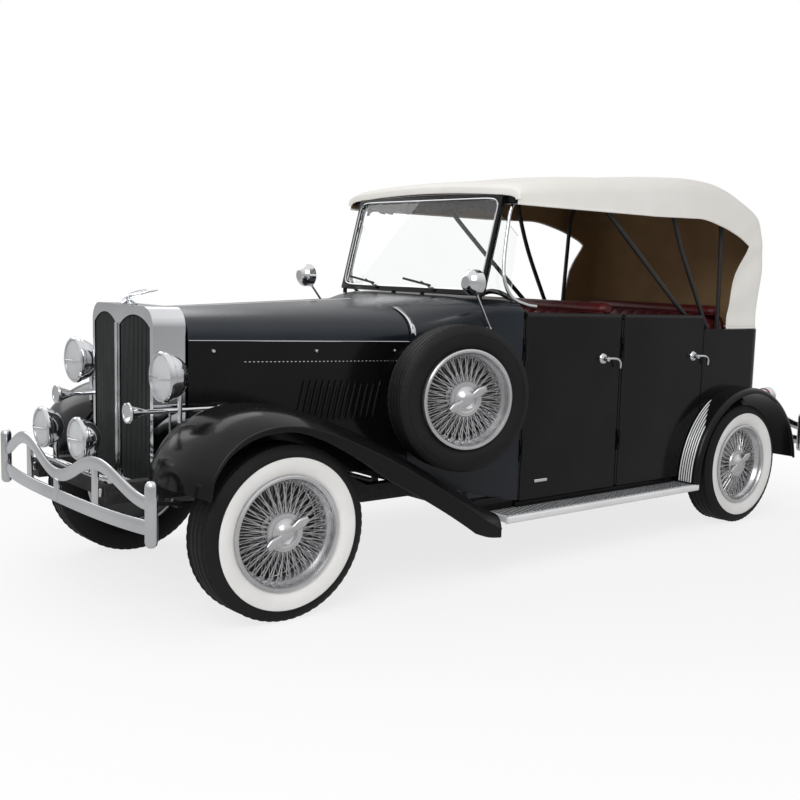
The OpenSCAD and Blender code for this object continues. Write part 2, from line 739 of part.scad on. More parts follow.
// Bumper bars: a lower blade and an upper blade that waves, both bowed forward
bumper_half = 752;
bumper_bow = 50;
module blade(y_mid, dir, z_mid, wave, height) {
    t = 7;
    count = 28;
    loft([for (i = [0 : count]) let (
            x = mix(bumper_half, -bumper_half, i / count) * dir,
            y = y_mid + dir * bumper_bow * pow(abs(x) / bumper_half, 3),
            z = z_mid - wave * cos(360 * x / bumper_half))
        [for (a = [22.5 : 45 : 359]) [x, y + dir * t * cos(a), z + height / 2 * sin(a)]]]);
}
module bumper(y_mid, dir, rail_end) {
    y_end = y_mid + dir * bumper_bow;
    blade(y_mid, dir, 448, 0, 58);
    blade(y_mid, dir, 588, 50, 52);
    both_sides() {
        translate([bumper_half, y_end, 398]) cylinder(r = 22, h = 205);
        translate([bumper_half, y_end, 603]) sphere(22);
        translate([bumper_half, y_end, 398]) sphere(22);
        translate([rail_x - 18, min(rail_end, y_mid + dir * 14), 500])
            cube([36, abs(rail_end - y_mid - dir * 14), 36]);
        translate([rail_x - 18, y_mid + dir * 14 - 10, 430]) cube([36, 20, 190]);
    }
    translate([-20, y_mid - 13, 430]) cube([40, 26, 90]);
}
front_bar_y = -front_overhang + 13;
rear_bar_y = wheelbase + rear_overhang - 13;
module front_bumper() {
    color([0.85, 0.85, 0.87]) at_station(0) bumper(front_bar_y, 1, rail_front_y);
}
module rear_bumper() {
    color([0.85, 0.85, 0.87]) at_station(0) bumper(rear_bar_y, -1, rail_rear_y);
}

// Front fender: a crowned strip carried along a path from its front lip over the tyre to the board
// Columns: station and height of the crown line
fender_path = [[-432, 560], [-408, 655], [-340, 756], [-236, 828], [-110, 862], [30, 858], [180, 818],
    [340, 752], [500, 674], [660, 588], [820, 496], [960, 408], [1060, 340], [1150, board_z + 6]];
fender_shares = [0, 0.12, 0.28, 0.5, 0.72, 0.88, 0.97, 1];
function crown(s) = -62 * pow(abs(2 * s - 0.9) / 1.1, 2.6);
function path_normal(i) = let (
        a = fender_path[max(i - 1, 0)],
        b = fender_path[min(i + 1, len(fender_path) - 1)],
        d = (b - a) / norm(b - a))
    [-d.y, d.x];
function fender_inner(y) = (y < hood_y[1] ? max(hood_half(y), rail_x + rail_w / 2 + 4) : cowl_half(y)) + 4;
// Depth of the flange that hangs from the outer edge, by station
fender_flange = [[-432, 3], [0, 6], [100, 14], [300, 40], [480, 72], [1000, 80], [1150, 30]];
function fender_outer(i, depth) = fender_x - 14 * i / len(fender_path) - depth;
function fender_edge(i, depth) = fender_path[i] + path_normal(i) * (crown(1) - depth);
function fender_row(i, depth) = let (p = fender_path[i], n = path_normal(i))
    concat([for (s = fender_shares) let (q = p + n * (crown(s) - depth))
        [mix(fender_inner(p.x), fender_outer(i, depth), s), q.x, q.y]],
        [[fender_outer(i, depth), fender_edge(i, 0).x,
            fender_edge(i, fender_t).y - lookup(p.x, fender_flange)]]);
// Height of the fender's skin just above a foot of radius r at a station and a distance from the middle
function fender_top(y, x, r) = let (s = (x - fender_inner(y)) / (fender_x - fender_inner(y)))
    lookup(y + r, fender_path) + crown(s) + 2;
module front_fenders() {
    color([0.03, 0.03, 0.03]) both_sides() at_station(0)
        loft([for (i = [0 : len(fender_path) - 1])
            concat(reversed(fender_row(i, 0)), fender_row(i, fender_t))]);
}
// Rear fender: a crowned section turned about the arch's middle
lip_r = 32;
module rear_fender_section() {
    difference() {
        union() {
            translate([rear_arch_r - fender_t, wheel_house_x]) square([fender_t, fender_x - lip_r - wheel_house_x]);
            intersection() {
                translate([rear_arch_r - lip_r, fender_x - lip_r]) circle(lip_r);
                translate([rear_arch_r - lip_r, fender_x - lip_r]) square(lip_r + 1);
            }
        }
        translate([rear_arch_r - lip_r, fender_x - lip_r]) circle(lip_r - fender_t);
    }
}
arch_start = asin((board_z + 2 - arch_z) / rear_arch_r);
// Angle by which the fender's tail ends above its foot
fender_tail = 8;
// The arch's axis points to the car's left; angles start at the rear and pass over the top
module arch_sweep(start, sweep) {
    translate([0, arch_y, arch_z]) rotate([90, 0, 90]) rotate([0, 0, start])
        rotate_extrude(angle = sweep, $fn = 180) children();
}
module rear_fenders() {
    color([0.03, 0.03, 0.03]) both_sides() at_station(0)
        arch_sweep(arch_start + fender_tail, 180 - 2 * arch_start - fender_tail) rear_fender_section();
}
// Guard strips on the fender's front, the outer ones shorter
guard_count = 6;
guard_t = 6;
guard_sweep = [60, 38];
module stone_guards() {
    color([0.85, 0.85, 0.87]) both_sides() at_station(0) for (i = [0 : guard_count - 1]) {
        sweep = mix(guard_sweep[0], guard_sweep[1], i / (guard_count - 1));
        arch_sweep(180 - arch_start - sweep, sweep - 1)
            translate([rear_arch_r + seat_gap, body_half + 7 + i * 16]) square([guard_t, 8]);
    }
}
board_x = [640, 836];
module running_boards() {
    rib_count = 9;
    pitch = (board_x[1] - board_x[0] - 30) / rib_count;
    length = board_y[1] - board_y[0];
    color([0.75, 0.76, 0.78]) both_sides() at_station(0) {
        translate([board_x[0], board_y[0], board_z - board_t])
            cube([board_x[1] - board_x[0], length, board_t - 4]);
        for (i = [0 : rib_count - 1])
            translate([board_x[0] + 20 + i * pitch, board_y[0] + 20, board_z - 4 - 0.1])
                cube([pitch * 0.5, length - 40, 4.1]);
    }
}

// Curved apron behind the tail wall, down to the rear crossmember
module tail_apron() {
    r = 420;
    color([0.03, 0.03, 0.03]) at_station(0) across(-wheel_house_x + 8, wheel_house_x - 8) intersection() {
        difference() {
            translate([tail_y + r - 8, 582 + r]) circle(r, $fn = 180);
            translate([tail_y + r - 8, 582 + r]) circle(r - 8, $fn = 180);
        }
        translate([tail_y + 2, 500]) square([r - 100, r]);
    }
}

// Windshield, drawn upright at its foot and leaned back
module screen_place() {
    at_station(screen_y) translate([0, 0, screen_z]) rotate([-screen_lean, 0, 0]) children();
}
module windshield_frame() {
    color([0.08, 0.08, 0.09]) screen_place() difference() {
        translate([-screen_half, -12, -4]) cube([2 * screen_half, 24, screen_h]);
        translate([-screen_half + screen_bar, -20, screen_bar - 4])
            cube([2 * (screen_half - screen_bar), 40, screen_h - 2 * screen_bar]);
    }
    color([0.08, 0.08, 0.09]) at_station(screen_y) both_sides() for (x = [120, screen_half - 20]) {
        foot = cowl_skin(x - 14) + seat_gap;
        translate([x, 0, foot]) cylinder(r = 11, h = screen_z + 4 - foot);
    }
}
module windshield_glass() {
    inset = screen_bar + seat_gap;
    color([0.8, 0.9, 0.95, 0.4]) screen_place() {
        translate([-screen_half + inset, -3, inset - 4])
            cube([2 * (screen_half - inset), 6, screen_h - 2 * inset]);
        both_sides() translate([screen_half + seat_gap, 0, 0]) rotate(-12)
            across(0, 6) polygon([[0, 30], [150, 30], [120, 330], [0, 400]]);
    }
}

mirror_at = [700, 1000, 1388];
module mirrors() {
    foot = [cowl_half(1156) + seat_gap, 1150, 1175];
    bend = [foot.x + 26, foot.y, foot.z];
    color([0.7, 0.7, 0.72]) both_sides() at_station(0) {
        translate(mirror_at) rotate([-90, 0, 0]) intersection() {
            translate([0, 0, 20]) sphere(66);
            translate([0, 0, -40]) cylinder(r = 60, h = 72);
        }
        rod(mirror_at, bend, 12);
        translate(bend) sphere(8);
        rod(bend, foot, 12);
    }
}
module dashboard() {
    half = cowl_half(1230) - cowl_t - seat_gap;
    color([0.25, 0.1, 0.06]) at_station(0) {
        along(1230, 1252) translate([-half, 1040]) square([2 * half, 170]);
        for (x = [-90, 0, 90, 330]) along(1252, 1262) translate([x, 1120]) circle(x == 330 ? 46 : 36);
    }
}
// Steering column and wheel ahead of the left seat
column_tilt = 62;
column_d = 44;
wheel_hub = [330, 1560, 1170];
module column_place() {
    at_station(0) translate(wheel_hub) rotate([-column_tilt, 0, 0]) children();
}
module steering_column() {
    end_y = firewall_y + firewall_t + seat_gap + column_d / 2 * cos(column_tilt);
    length = (wheel_hub.y - end_y) / sin(column_tilt);
    color([0.1, 0.1, 0.1]) column_place() translate([0, 0, -length])
        cylinder(d = column_d, h = length - 8 - seat_gap);
}
module steering_wheel() {
    color([0.08, 0.08, 0.08]) column_place() {
        rotate_extrude($fn = 96) translate([200, 0]) circle(13, $fn = 32);
        translate([0, 0, -8]) cylinder(r = 38, h = 22);
        for (a = [90, 210, 330]) rotate(a) translate([30, -11, -4]) cube([165, 22, 8]);
    }
}

// Seats: closed forms of the cushions
module seat(y, base_z, half, top_z) {
    at_station(y) across(-half, half) polygon([[0, base_z], [560, base_z], [690, top_z],
        [560, top_z], [470, base_z + 300], [0, base_z + 270]]);
}
module front_seat() {
    color([0.4, 0.04, 0.05]) seat(1560, floor_z + floor_t + seat_gap, 560, 1300);
}
module rear_seat() {
    color([0.4, 0.04, 0.05]) seat(tail_y - 790, rear_floor_z + seat_gap, 545, 1300);
}

// Canopy: the meeting of a side view and a front view, hollowed, with its sides and front open
canopy_y = [1285, 3450];
canopy_side = [[0, 1832], [0, 1868], [60, 1900], [330, 1940], [565, 1972], [900, 2008], [1050, 2022],
    [1315, 2047], [1540, 2046], [1700, 2018], [1870, 1962], [2050, 1878], [2125, 1720], [2140, 1560],
    [2100, tail_z + seat_gap]];
module canopy_side_view(t) {
    shift = canopy_z - 2047;
    polygon(concat([for (p = canopy_side)
            [canopy_y[0] + p.x - (p.x > 1700 ? t : 0), p.y + shift - (p.y > 1850 ? t : 0)]],
        [[canopy_y[0], tail_z + seat_gap]]));
}
canopy_crown_r = 8000;
module canopy_front_view(t) {
    intersection() {
        translate([-canopy_half + t, 1100]) square([2 * (canopy_half - t), canopy_z - 1100]);
        translate([0, canopy_z - canopy_crown_r]) circle(canopy_crown_r - t, $fn = 720);
    }
}
canopy_opening = [[-20, 1100], [-20, 1769], [270, 1775], [1070, 1791], [1450, 1806], [1720, 1762],
    [1900, 1700], [1945, 1665], [1860, 1560], [1780, 1455], [1772, 1225], [1745, 1100]];
module canopy() {
    color([0.93, 0.91, 0.85]) at_station(0) difference() {
        intersection() {
            across(-canopy_half, canopy_half) canopy_side_view(0);
            along(canopy_y[0], canopy_y[1] + 50) canopy_front_view(0);
        }
        intersection() {
            across(-canopy_half, canopy_half) canopy_side_view(canopy_t);
            along(canopy_y[0] - 50, canopy_y[1] + 50) canopy_front_view(canopy_t);
        }
        across(-800, 800) translate([canopy_y[0], 0]) polygon(canopy_opening);
    }
}
// Bows: columns are station of the roof bar, its height below the canopy's ridge, station of the foot
bow_table = [[1900, 133, 2860], [2500, 72, 2930], [3020, 111, 3000]];
bow_half = canopy_half - canopy_t - 68;
bow_d = 24;
bow_foot_z = 1120;
module canopy_bows() {
    inner = body_half - wall - seat_gap;
    color([0.12, 0.11, 0.1]) at_station(0) for (b = bow_table) {
        z = canopy_z - b[1];
        foot = [body_half - wall - 45, b[2], bow_foot_z];
        rod([-bow_half, b[0], z], [bow_half, b[0], z], bow_d);
        both_sides() {
            translate([bow_half, b[0], z]) sphere(bow_d / 2 + 3);
            rod([bow_half, b[0], z], foot, bow_d);
            rod(foot - [16, 0, 0], [inner, foot.y, foot.z], bow_d + 8);
        }
    }
}

chassis_rails();
cross_members();
tow_members();
board_irons();
front_axle();
rear_axle();
leaf_springs();
battery_pack();
floor_pan();
knuckle_left();
knuckle_right();
tie_rod();
tyre_front_left();
tyre_front_right();
tyre_rear_left();
tyre_rear_right();
wheel_front_left();
wheel_front_right();
wheel_rear_left();
wheel_rear_right();
spare_tyres();
spare_wheels();
firewall();
cowl();
hood_left();
hood_right();
hood_sides();
radiator_shell();
radiator_grille();
lamps();
lamp_lenses();
tail_lamps();
horns();
front_bumper();
rear_bumper();
front_fenders();
rear_fenders();
stone_guards();
running_boards();
door_front_left();
door_front_right();
door_rear_left();
door_rear_right();
rear_body();
tail_apron();
windshield_frame();
windshield_glass();
mirrors();
dashboard();
steering_column();
steering_wheel();
front_seat();
rear_seat();
canopy();
canopy_bows();
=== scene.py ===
"""Looks of an electric sightseeing car, an open four-door tourer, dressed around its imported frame.

Lengths along the car are stations, measured back from the front axle, in metres.
"""

import logging
import math
from dataclasses import dataclass, field
from enum import Enum
from typing import Callable, Sequence

import bmesh
import bpy
import numpy as np
from mathutils import Matrix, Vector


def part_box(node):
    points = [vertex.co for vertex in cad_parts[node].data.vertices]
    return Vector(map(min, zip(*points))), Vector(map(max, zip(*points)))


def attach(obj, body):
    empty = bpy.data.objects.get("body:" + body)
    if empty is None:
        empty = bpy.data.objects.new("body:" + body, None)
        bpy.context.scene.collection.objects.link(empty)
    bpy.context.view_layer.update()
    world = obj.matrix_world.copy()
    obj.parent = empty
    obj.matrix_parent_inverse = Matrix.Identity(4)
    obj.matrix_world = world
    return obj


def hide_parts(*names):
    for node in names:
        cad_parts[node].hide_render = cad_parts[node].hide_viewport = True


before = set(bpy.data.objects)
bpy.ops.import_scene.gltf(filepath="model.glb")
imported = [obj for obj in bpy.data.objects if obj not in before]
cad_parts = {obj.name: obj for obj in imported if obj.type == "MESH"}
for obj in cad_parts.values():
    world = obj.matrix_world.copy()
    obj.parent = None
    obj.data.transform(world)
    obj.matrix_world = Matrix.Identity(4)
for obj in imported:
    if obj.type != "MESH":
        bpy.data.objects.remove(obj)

LOG = logging.getLogger("car")
Array = np.ndarray
Vec = Sequence[float]
UP = (0.0, 0.0, 1.0)
LEFT = (1.0, 0.0, 0.0)
BACK = (0.0, 1.0, 0.0)
SIDES = ((1, "left"), (-1, "right"))
ROOT = "car_body"


def node_box(node: str) -> tuple[Array, Array]:
    """Lowest and highest corner of a CAD node as arrays.

    Args:
        node: Name of the node.

    Returns:
        The two corners, in metres.
    """
    low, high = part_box(node)
    return np.array(low), np.array(high)


FRONT_AXLE_Y = float(sum(b[1] for b in node_box("tyre_front_left")) / 2)


def at(x: float, station: float, z: float) -> Array:
    """Point of the car at a station behind the front axle."""
    return np.array([x, FRONT_AXLE_Y + station, z])


def stations(points: Sequence[Vec] | Array) -> Array:
    """Rows of width, station and height as points of the car."""
    return np.asarray(points, float) + np.array([0.0, FRONT_AXLE_Y, 0.0])


# Surfaces


@dataclass
class Patch:
    """A stretch of surface: its points, its faces and the finish number of each face."""

    points: Array
    quads: Array
    tris: Array = field(default_factory=lambda: np.zeros((0, 3), int))
    slot: int | Array = 0

    def painted(self, slot: int | Array) -> "Patch":
        """The same patch with another finish number."""
        return Patch(self.points, self.quads, self.tris, slot)

    def mirrored(self) -> "Patch":
        """The patch on the other side of the car, with its faces turned round."""
        return Patch(self.points * np.array([-1.0, 1.0, 1.0]), self.quads[:, ::-1], self.tris[:, ::-1],
                     self.slot)

    def moved(self, matrix: Array, place: Vec) -> "Patch":
        """The patch turned by a 3 by 3 matrix and set at a place."""
        return Patch(self.points @ matrix.T + np.asarray(place), self.quads, self.tris, self.slot)


def both(patches: Sequence[Patch]) -> list[Patch]:
    """Patches of the left side with their mirror images."""
    return [*patches, *(p.mirrored() for p in patches)]


def grid(points: Array, wrap_rows: bool = False, wrap_cols: bool = False, caps: bool = False) -> Patch:
    """Quads between neighbours of a grid of points; caps close the first and the last row by a fan.

    Args:
        points: Rows by columns by 3.
        wrap_rows: Whether the last row joins the first.
        wrap_cols: Whether the last column joins the first.
        caps: Whether each end row is closed round its middle.

    Returns:
        The surface.
    """
    rows, cols = points.shape[:2]
    i = np.arange(rows if wrap_rows else rows - 1)[:, None]
    j = np.arange(cols if wrap_cols else cols - 1)[None, :]
    a = i * cols + j
    b = i * cols + (j + 1) % cols
    c = (i + 1) % rows * cols + (j + 1) % cols
    d = (i + 1) % rows * cols + j
    quads = np.stack([a, b, c, d], axis=-1).reshape(-1, 4)
    flat = points.reshape(-1, 3)
    if not caps:
        return Patch(flat, quads)
    middles = np.stack([points[0].mean(0), points[-1].mean(0)])
    k = np.arange(cols)
    first = np.stack([np.full(cols, rows * cols), (k + 1) % cols, k], axis=-1)
    row = (rows - 1) * cols
    last = np.stack([np.full(cols, rows * cols + 1), row + k, row + (k + 1) % cols], axis=-1)
    return Patch(np.concatenate([flat, middles]), quads, np.concatenate([first, last]))


def shell(outer: Array, inner: Array) -> Patch:
    """A closed sheet between an outer and an inner grid of the same shape, with its four edges closed.

    Args:
        outer: Rows by columns by 3, the skin that shows.
        inner: The skin behind it.

    Returns:
        The closed surface.
    """
    ring = np.concatenate([outer, inner[:, ::-1]], axis=1)
    side = grid(ring, wrap_cols=True)
    rows, cols = ring.shape[:2]
    j = np.arange(cols // 2 - 1)
    end = np.stack([j, j + 1, cols - 2 - j, cols - 1 - j], axis=-1)
    return Patch(side.points, np.concatenate([side.quads, end[:, ::-1], end + (rows - 1) * cols]))


def unit(v: Array) -> Array:
    """Vectors scaled to length one."""
    return v / np.maximum(np.linalg.norm(v, axis=-1, keepdims=True), 1e-12)


def sweep(path: Array, profile: Array, ref: Vec = UP, closed: bool = False,
          scale: Array | float = 1.0) -> Patch:
    """A closed profile carried along a path, square to it; its first axis lies across the path and ref.

    Args:
        path: Points of the path.
        profile: Points across and up, in metres, going round.
        ref: A direction that the path never takes.
        closed: Whether the path's end joins its start.
        scale: Size of the profile along the path.

    Returns:
        The tube, with closed ends on an open path.
    """
    path = np.asarray(path, float)
    run = np.roll(path, -1, 0) - np.roll(path, 1, 0) if closed else np.gradient(path, axis=0)
    run = unit(run)
    across = unit(np.cross(run, np.asarray(ref, float)))
    rise = np.cross(across, run)
    size = np.broadcast_to(np.asarray(scale, float), (len(path),))[:, None, None]
    ring = profile[None, :, :1] * across[:, None] + profile[None, :, 1:] * rise[:, None]
    points = path[:, None] + size * ring
    return grid(points, wrap_rows=closed, wrap_cols=True, caps=not closed)


def circle(radius: float, sides: int) -> Array:
    """Points round a circle, as a profile."""
    angle = np.linspace(0, 2 * np.pi, sides, endpoint=False)
    return radius * np.stack([np.cos(angle), np.sin(angle)], axis=-1)


def oval(half_w: float, half_h: float, sides: int, power: float = 2.0) -> Array:
    """Points round a superellipse with these half sizes; a higher power is squarer."""
    angle = np.linspace(0, 2 * np.pi, sides, endpoint=False)
    c, s = np.cos(angle), np.sin(angle)
    return np.stack([half_w * np.sign(c) * abs(c) ** (2 / power),
                     half_h * np.sign(s) * abs(s) ** (2 / power)], axis=-1)


def tube(path: Array, radius: float, sides: int = 12, ref: Vec = UP, scale: Array | float = 1.0) -> Patch:
    """A round bar along a path."""
    return sweep(path, circle(radius, sides), ref, False, scale)


def curve(points: Sequence[Vec] | Array, count: int) -> Array:
    """A smooth path through points, each span a cubic whose end slopes follow the neighbours.

    Args:
        points: The points that the path meets.
        count: Points of the path.

    Returns:
        The path.
    """
    p = np.asarray(points, float)
    slope = np.gradient(p, axis=0)
    t = np.linspace(0, len(p) - 1, count)
    k = np.minimum(t.astype(int), len(p) - 2)
    u = (t - k)[:, None]
    a, b, da, db = p[k], p[k + 1], slope[k], slope[k + 1]
    return ((2 * u**3 - 3 * u**2 + 1) * a + (u**3 - 2 * u**2 + u) * da
            + (3 * u**2 - 2 * u**3) * b + (u**3 - u**2) * db)


def basis(axis: Vec, ref: Vec = UP) -> Array:
    """Matrix whose third column is the axis and whose first is square to the axis and ref."""
    z = unit(np.asarray(axis, float))
    x = unit(np.cross(np.asarray(ref, float), z))
    return np.stack([x, np.cross(z, x), z], axis=1)


def lathe(profile: Sequence[Vec], steps: int, closed: bool = False) -> Patch:
    """A profile of radius and height turned about the local Z axis; an open one is closed at its ends.

    Args:
        profile: Radius and height of each point.
        steps: Steps round the axis.
        closed: Whether the profile's end joins its start.

    Returns:
        The turned surface.
    """
    p = np.asarray(profile, float)
    angle = np.linspace(0, 2 * np.pi, steps, endpoint=False)
    points = np.stack([p[:, None, 0] * np.cos(angle), p[:, None, 0] * np.sin(angle),
                       np.repeat(p[:, 1:2], steps, 1)], axis=-1)
    return grid(points, wrap_rows=closed, wrap_cols=True, caps=not closed)


def block(low: Vec, high: Vec, radius: float, steps: int = 5) -> Patch:
    """A box with round edges: a sphere whose eight octants are drawn apart by the box's size.

    Args:
        low: Lowest corner.
        high: Highest corner.
        radius: Radius of the edges.
        steps: Steps in each quarter turn.

    Returns:
        The closed surface.
    """
    low, high = np.asarray(low, float), np.asarray(high, float)
    quarter = np.linspace(0, np.pi / 2, steps)
    turn = np.concatenate([quarter + k * np.pi / 2 for k in range(4)])
    lift = np.concatenate([quarter - np.pi / 2, quarter])
    ball = np.stack([np.cos(lift)[:, None] * np.cos(turn), np.cos(lift)[:, None] * np.sin(turn),
                     np.repeat(np.sin(lift)[:, None], len(turn), 1)], axis=-1)
    corner_x = np.repeat(np.array([1, -1, -1, 1]), steps)
    corner_y = np.repeat(np.array([1, 1, -1, -1]), steps)
    corner_z = np.repeat(np.array([-1, 1]), steps)
    sign = np.stack([np.broadcast_to(corner_x, ball.shape[:2]), np.broadcast_to(corner_y, ball.shape[:2]),
                     np.broadcast_to(corner_z[:, None], ball.shape[:2])], axis=-1)
    half = (high - low) / 2
    points = (low + high) / 2 + sign * (half - radius) + radius * ball
    return grid(points, wrap_cols=True, caps=True)


def repeated(patch: Patch, places: Array) -> Patch:
    """One patch set at each of many places, as one joined patch."""
    n = len(patch.points)
    points = (patch.points[None] + places[:, None]).reshape(-1, 3)
    shift = (np.arange(len(places)) * n)[:, None, None]
    quads, tris = (patch.quads[None] + shift).reshape(-1, 4), (patch.tris[None] + shift).reshape(-1, 3)
    return Patch(points, quads, tris, patch.slot)


# Finishes


class Pattern(Enum):
    """What the fine relief of a finish looks like."""

    GRAIN = "grain"
    WEAVE = "weave"
    LEATHER = "leather"
    BRUSHED = "brushed"


class Nodes:
    """Short calls for building a node tree."""

    def __init__(self, tree: bpy.types.NodeTree) -> None:
        """Starts an empty tree.

        Args:
            tree: The tree to fill.
        """
        self.tree = tree
        tree.nodes.clear()

    def add(self, kind: str, settings: dict | None = None, **inputs: object) -> bpy.types.Node:
        """Adds a node and fills or links its inputs.

        Args:
            kind: Type name of the node.
            settings: Properties of the node.
            inputs: Values or sockets by input name, with _ for a blank.

        Returns:
            The node.
        """
        node = self.tree.nodes.new(kind)
        for key, value in (settings or {}).items():
            setattr(node, key, value)
        for key, value in inputs.items():
            name = key.replace("_", " ")
            target = node.inputs[int(key[1:])] if key[0] == "i" and key[1:].isdigit() else node.inputs[name]
            self.put(target, value)
        return node

    def put(self, target: bpy.types.NodeSocket, value: object) -> None:
        """Links a socket to the target, or sets its value."""
        if isinstance(value, bpy.types.NodeSocket):
            self.tree.links.new(value, target)
        else:
            target.default_value = value

    def math(self, operation: str, a: object, b: object = 0.0, clamp: bool = False) -> bpy.types.NodeSocket:
        """Result of a Math node."""
        return self.add("ShaderNodeMath", {"operation": operation, "use_clamp": clamp}, i0=a, i1=b).outputs[0]

    def span(self, value: object, low: float, high: float, to_low: object,
             to_high: object) -> bpy.types.NodeSocket:
        """Result of a Map Range node, kept within its ends."""
        return self.add("ShaderNodeMapRange", None, Value=value, From_Min=low, From_Max=high,
                        To_Min=to_low, To_Max=to_high).outputs[0]

    def mix(self, share: object, a: object, b: object) -> bpy.types.NodeSocket:
        """Colour between two colours."""
        node = self.add("ShaderNodeMix", {"data_type": "RGBA"})
        self.put(node.inputs[0], share)
        self.put(node.inputs[6], a)
        self.put(node.inputs[7], b)
        return node.outputs[2]


def new_group(name: str, inputs: Sequence[str], outputs: Sequence[str]) -> tuple[Nodes, dict, dict]:
    """An empty shader node group with number sockets.

    Args:
        name: Name of the group.
        inputs: Names of its inputs.
        outputs: Names of its outputs.

    Returns:
        The tree's helper, the input sockets and the output sockets inside the group.
    """
    tree = bpy.data.node_groups.new(name, "ShaderNodeTree")
    for text in inputs:
        tree.interface.new_socket(text, in_out="INPUT", socket_type="NodeSocketFloat")
    for text in outputs:
        tree.interface.new_socket(text, in_out="OUTPUT", socket_type="NodeSocketFloat")
    nodes = Nodes(tree)
    start, end = nodes.add("NodeGroupInput"), nodes.add("NodeGroupOutput")
    return nodes, {t: start.outputs[t] for t in inputs}, {t: end.inputs[t] for t in outputs}


def object_point(nodes: Nodes) -> bpy.types.NodeSocket:
    """Place on the piece in its own coordinates."""
    return nodes.add("ShaderNodeTexCoord").outputs["Object"]


def cloudy_group() -> bpy.types.NodeTree:
    """Slow change of tone: broad noise, spread from nought to one."""
    nodes, given, out = new_group("cloudy_tone", ["Scale"], ["Mask"])
    noise = nodes.add("ShaderNodeTexNoise", None, Vector=object_point(nodes), Scale=given["Scale"],
                      Detail=5.0)
    nodes.put(out["Mask"], nodes.span(noise.outputs[0], 0.35, 0.65, 0.0, 1.0))
    return nodes.tree


def wear_group() -> bpy.types.NodeTree:
    """Rubbed edges: where the surface is sharply convex, broken up by noise."""
    nodes, given, out = new_group("edge_wear", ["Amount"], ["Mask"])
    sharp = nodes.span(nodes.add("ShaderNodeNewGeometry").outputs["Pointiness"], 0.53, 0.62, 0.0, 1.0)
    noise = nodes.add("ShaderNodeTexNoise", None, Vector=object_point(nodes), Scale=60.0, Detail=6.0)
    rough = nodes.span(noise.outputs[0], 0.4, 0.65, 0.0, 1.0)
    mask = nodes.math("MULTIPLY", sharp, rough)
    nodes.put(out["Mask"], nodes.math("MULTIPLY", mask, given["Amount"], True))
    return nodes.tree


def dust_group() -> bpy.types.NodeTree:
    """Dust that lies where the surface looks up, thicker in patches."""
    nodes, given, out = new_group("settled_dust", ["Amount"], ["Mask"])
    normal = nodes.add("ShaderNodeSeparateXYZ", None,
                       Vector=nodes.add("ShaderNodeNewGeometry").outputs["Normal"])
    noise = nodes.add("ShaderNodeTexNoise", None, Vector=object_point(nodes), Scale=9.0, Detail=8.0)
    patches = nodes.span(noise.outputs[0], 0.3, 0.75, 0.2, 1.0)
    facing = nodes.span(normal.outputs["Z"], 0.2, 1.0, 0.0, 1.0)
    mask = nodes.math("MULTIPLY", facing, patches)
    nodes.put(out["Mask"], nodes.math("MULTIPLY", mask, given["Amount"], True))
    return nodes.tree


def grain_group() -> bpy.types.NodeTree:
    """Fine even relief of a moulded, cast or sprayed surface."""
    nodes, given, out = new_group("fine_grain", ["Scale"], ["Height"])
    noise = nodes.add("ShaderNodeTexNoise", None, Vector=object_point(nodes), Scale=given["Scale"],
                      Detail=4.0)
    nodes.put(out["Height"], noise.outputs[0])
    return nodes.tree


def weave_group() -> bpy.types.NodeTree:
    """Plain weave: threads along the car and across it, each a row of ridges, over and under in turn."""
    nodes, given, out = new_group("plain_weave", ["Scale"], ["Height"])
    p = nodes.add("ShaderNodeSeparateXYZ", None, Vector=object_point(nodes))
    along = nodes.math("ADD", p.outputs["Y"], nodes.math("MULTIPLY", p.outputs["Z"], 0.83))
    warp = nodes.math("SINE", nodes.math("MULTIPLY", p.outputs["X"], given["Scale"]))
    weft = nodes.math("SINE", nodes.math("MULTIPLY", along, given["Scale"]))
    nodes.put(out["Height"], nodes.math("MAXIMUM", warp, weft))
    return nodes.tree


def leather_group() -> bpy.types.NodeTree:
    """Leather grain: small cells with creases between them, over soft unevenness."""
    nodes, given, out = new_group("leather_cells", ["Scale"], ["Height"])
    point = object_point(nodes)
    cells = nodes.add("ShaderNodeTexVoronoi", {"feature": "DISTANCE_TO_EDGE"}, Vector=point,
                      Scale=given["Scale"])
    soft = nodes.add("ShaderNodeTexNoise", None, Vector=point, Scale=18.0, Detail=3.0)
    crease = nodes.span(cells.outputs["Distance"], 0.0, 0.12, 0.0, 1.0)
    nodes.put(out["Height"], nodes.math("ADD", crease, nodes.math("MULTIPLY", soft.outputs[0], 2.0)))
    return nodes.tree


def brushed_group() -> bpy.types.NodeTree:
    """Fine lines along the car, as rolling or brushing leaves them."""
    nodes, given, out = new_group("rolled_lines", ["Scale"], ["Height"])
    stretch = nodes.add("ShaderNodeMapping", None, Vector=object_point(nodes), Scale=(1.0, 0.04, 1.0))
    noise = nodes.add("ShaderNodeTexNoise", None, Vector=stretch.outputs[0], Scale=given["Scale"], Detail=3.0)
    nodes.put(out["Height"], noise.outputs[0])
    return nodes.tree


class Groups:
    """The shader node groups, each made once."""

    makers: dict[str, Callable[[], bpy.types.NodeTree]] = {
        "cloudy": cloudy_group, "wear": wear_group, "dust": dust_group, Pattern.GRAIN.value: grain_group,
        Pattern.WEAVE.value: weave_group, Pattern.LEATHER.value: leather_group,
        Pattern.BRUSHED.value: brushed_group}
    made: dict[str, bpy.types.NodeTree] = {}

    @classmethod
    def get(cls, name: str) -> bpy.types.NodeTree:
        """The group of that name."""
        if name not in cls.made:
            cls.made[name] = cls.makers[name]()
        return cls.made[name]


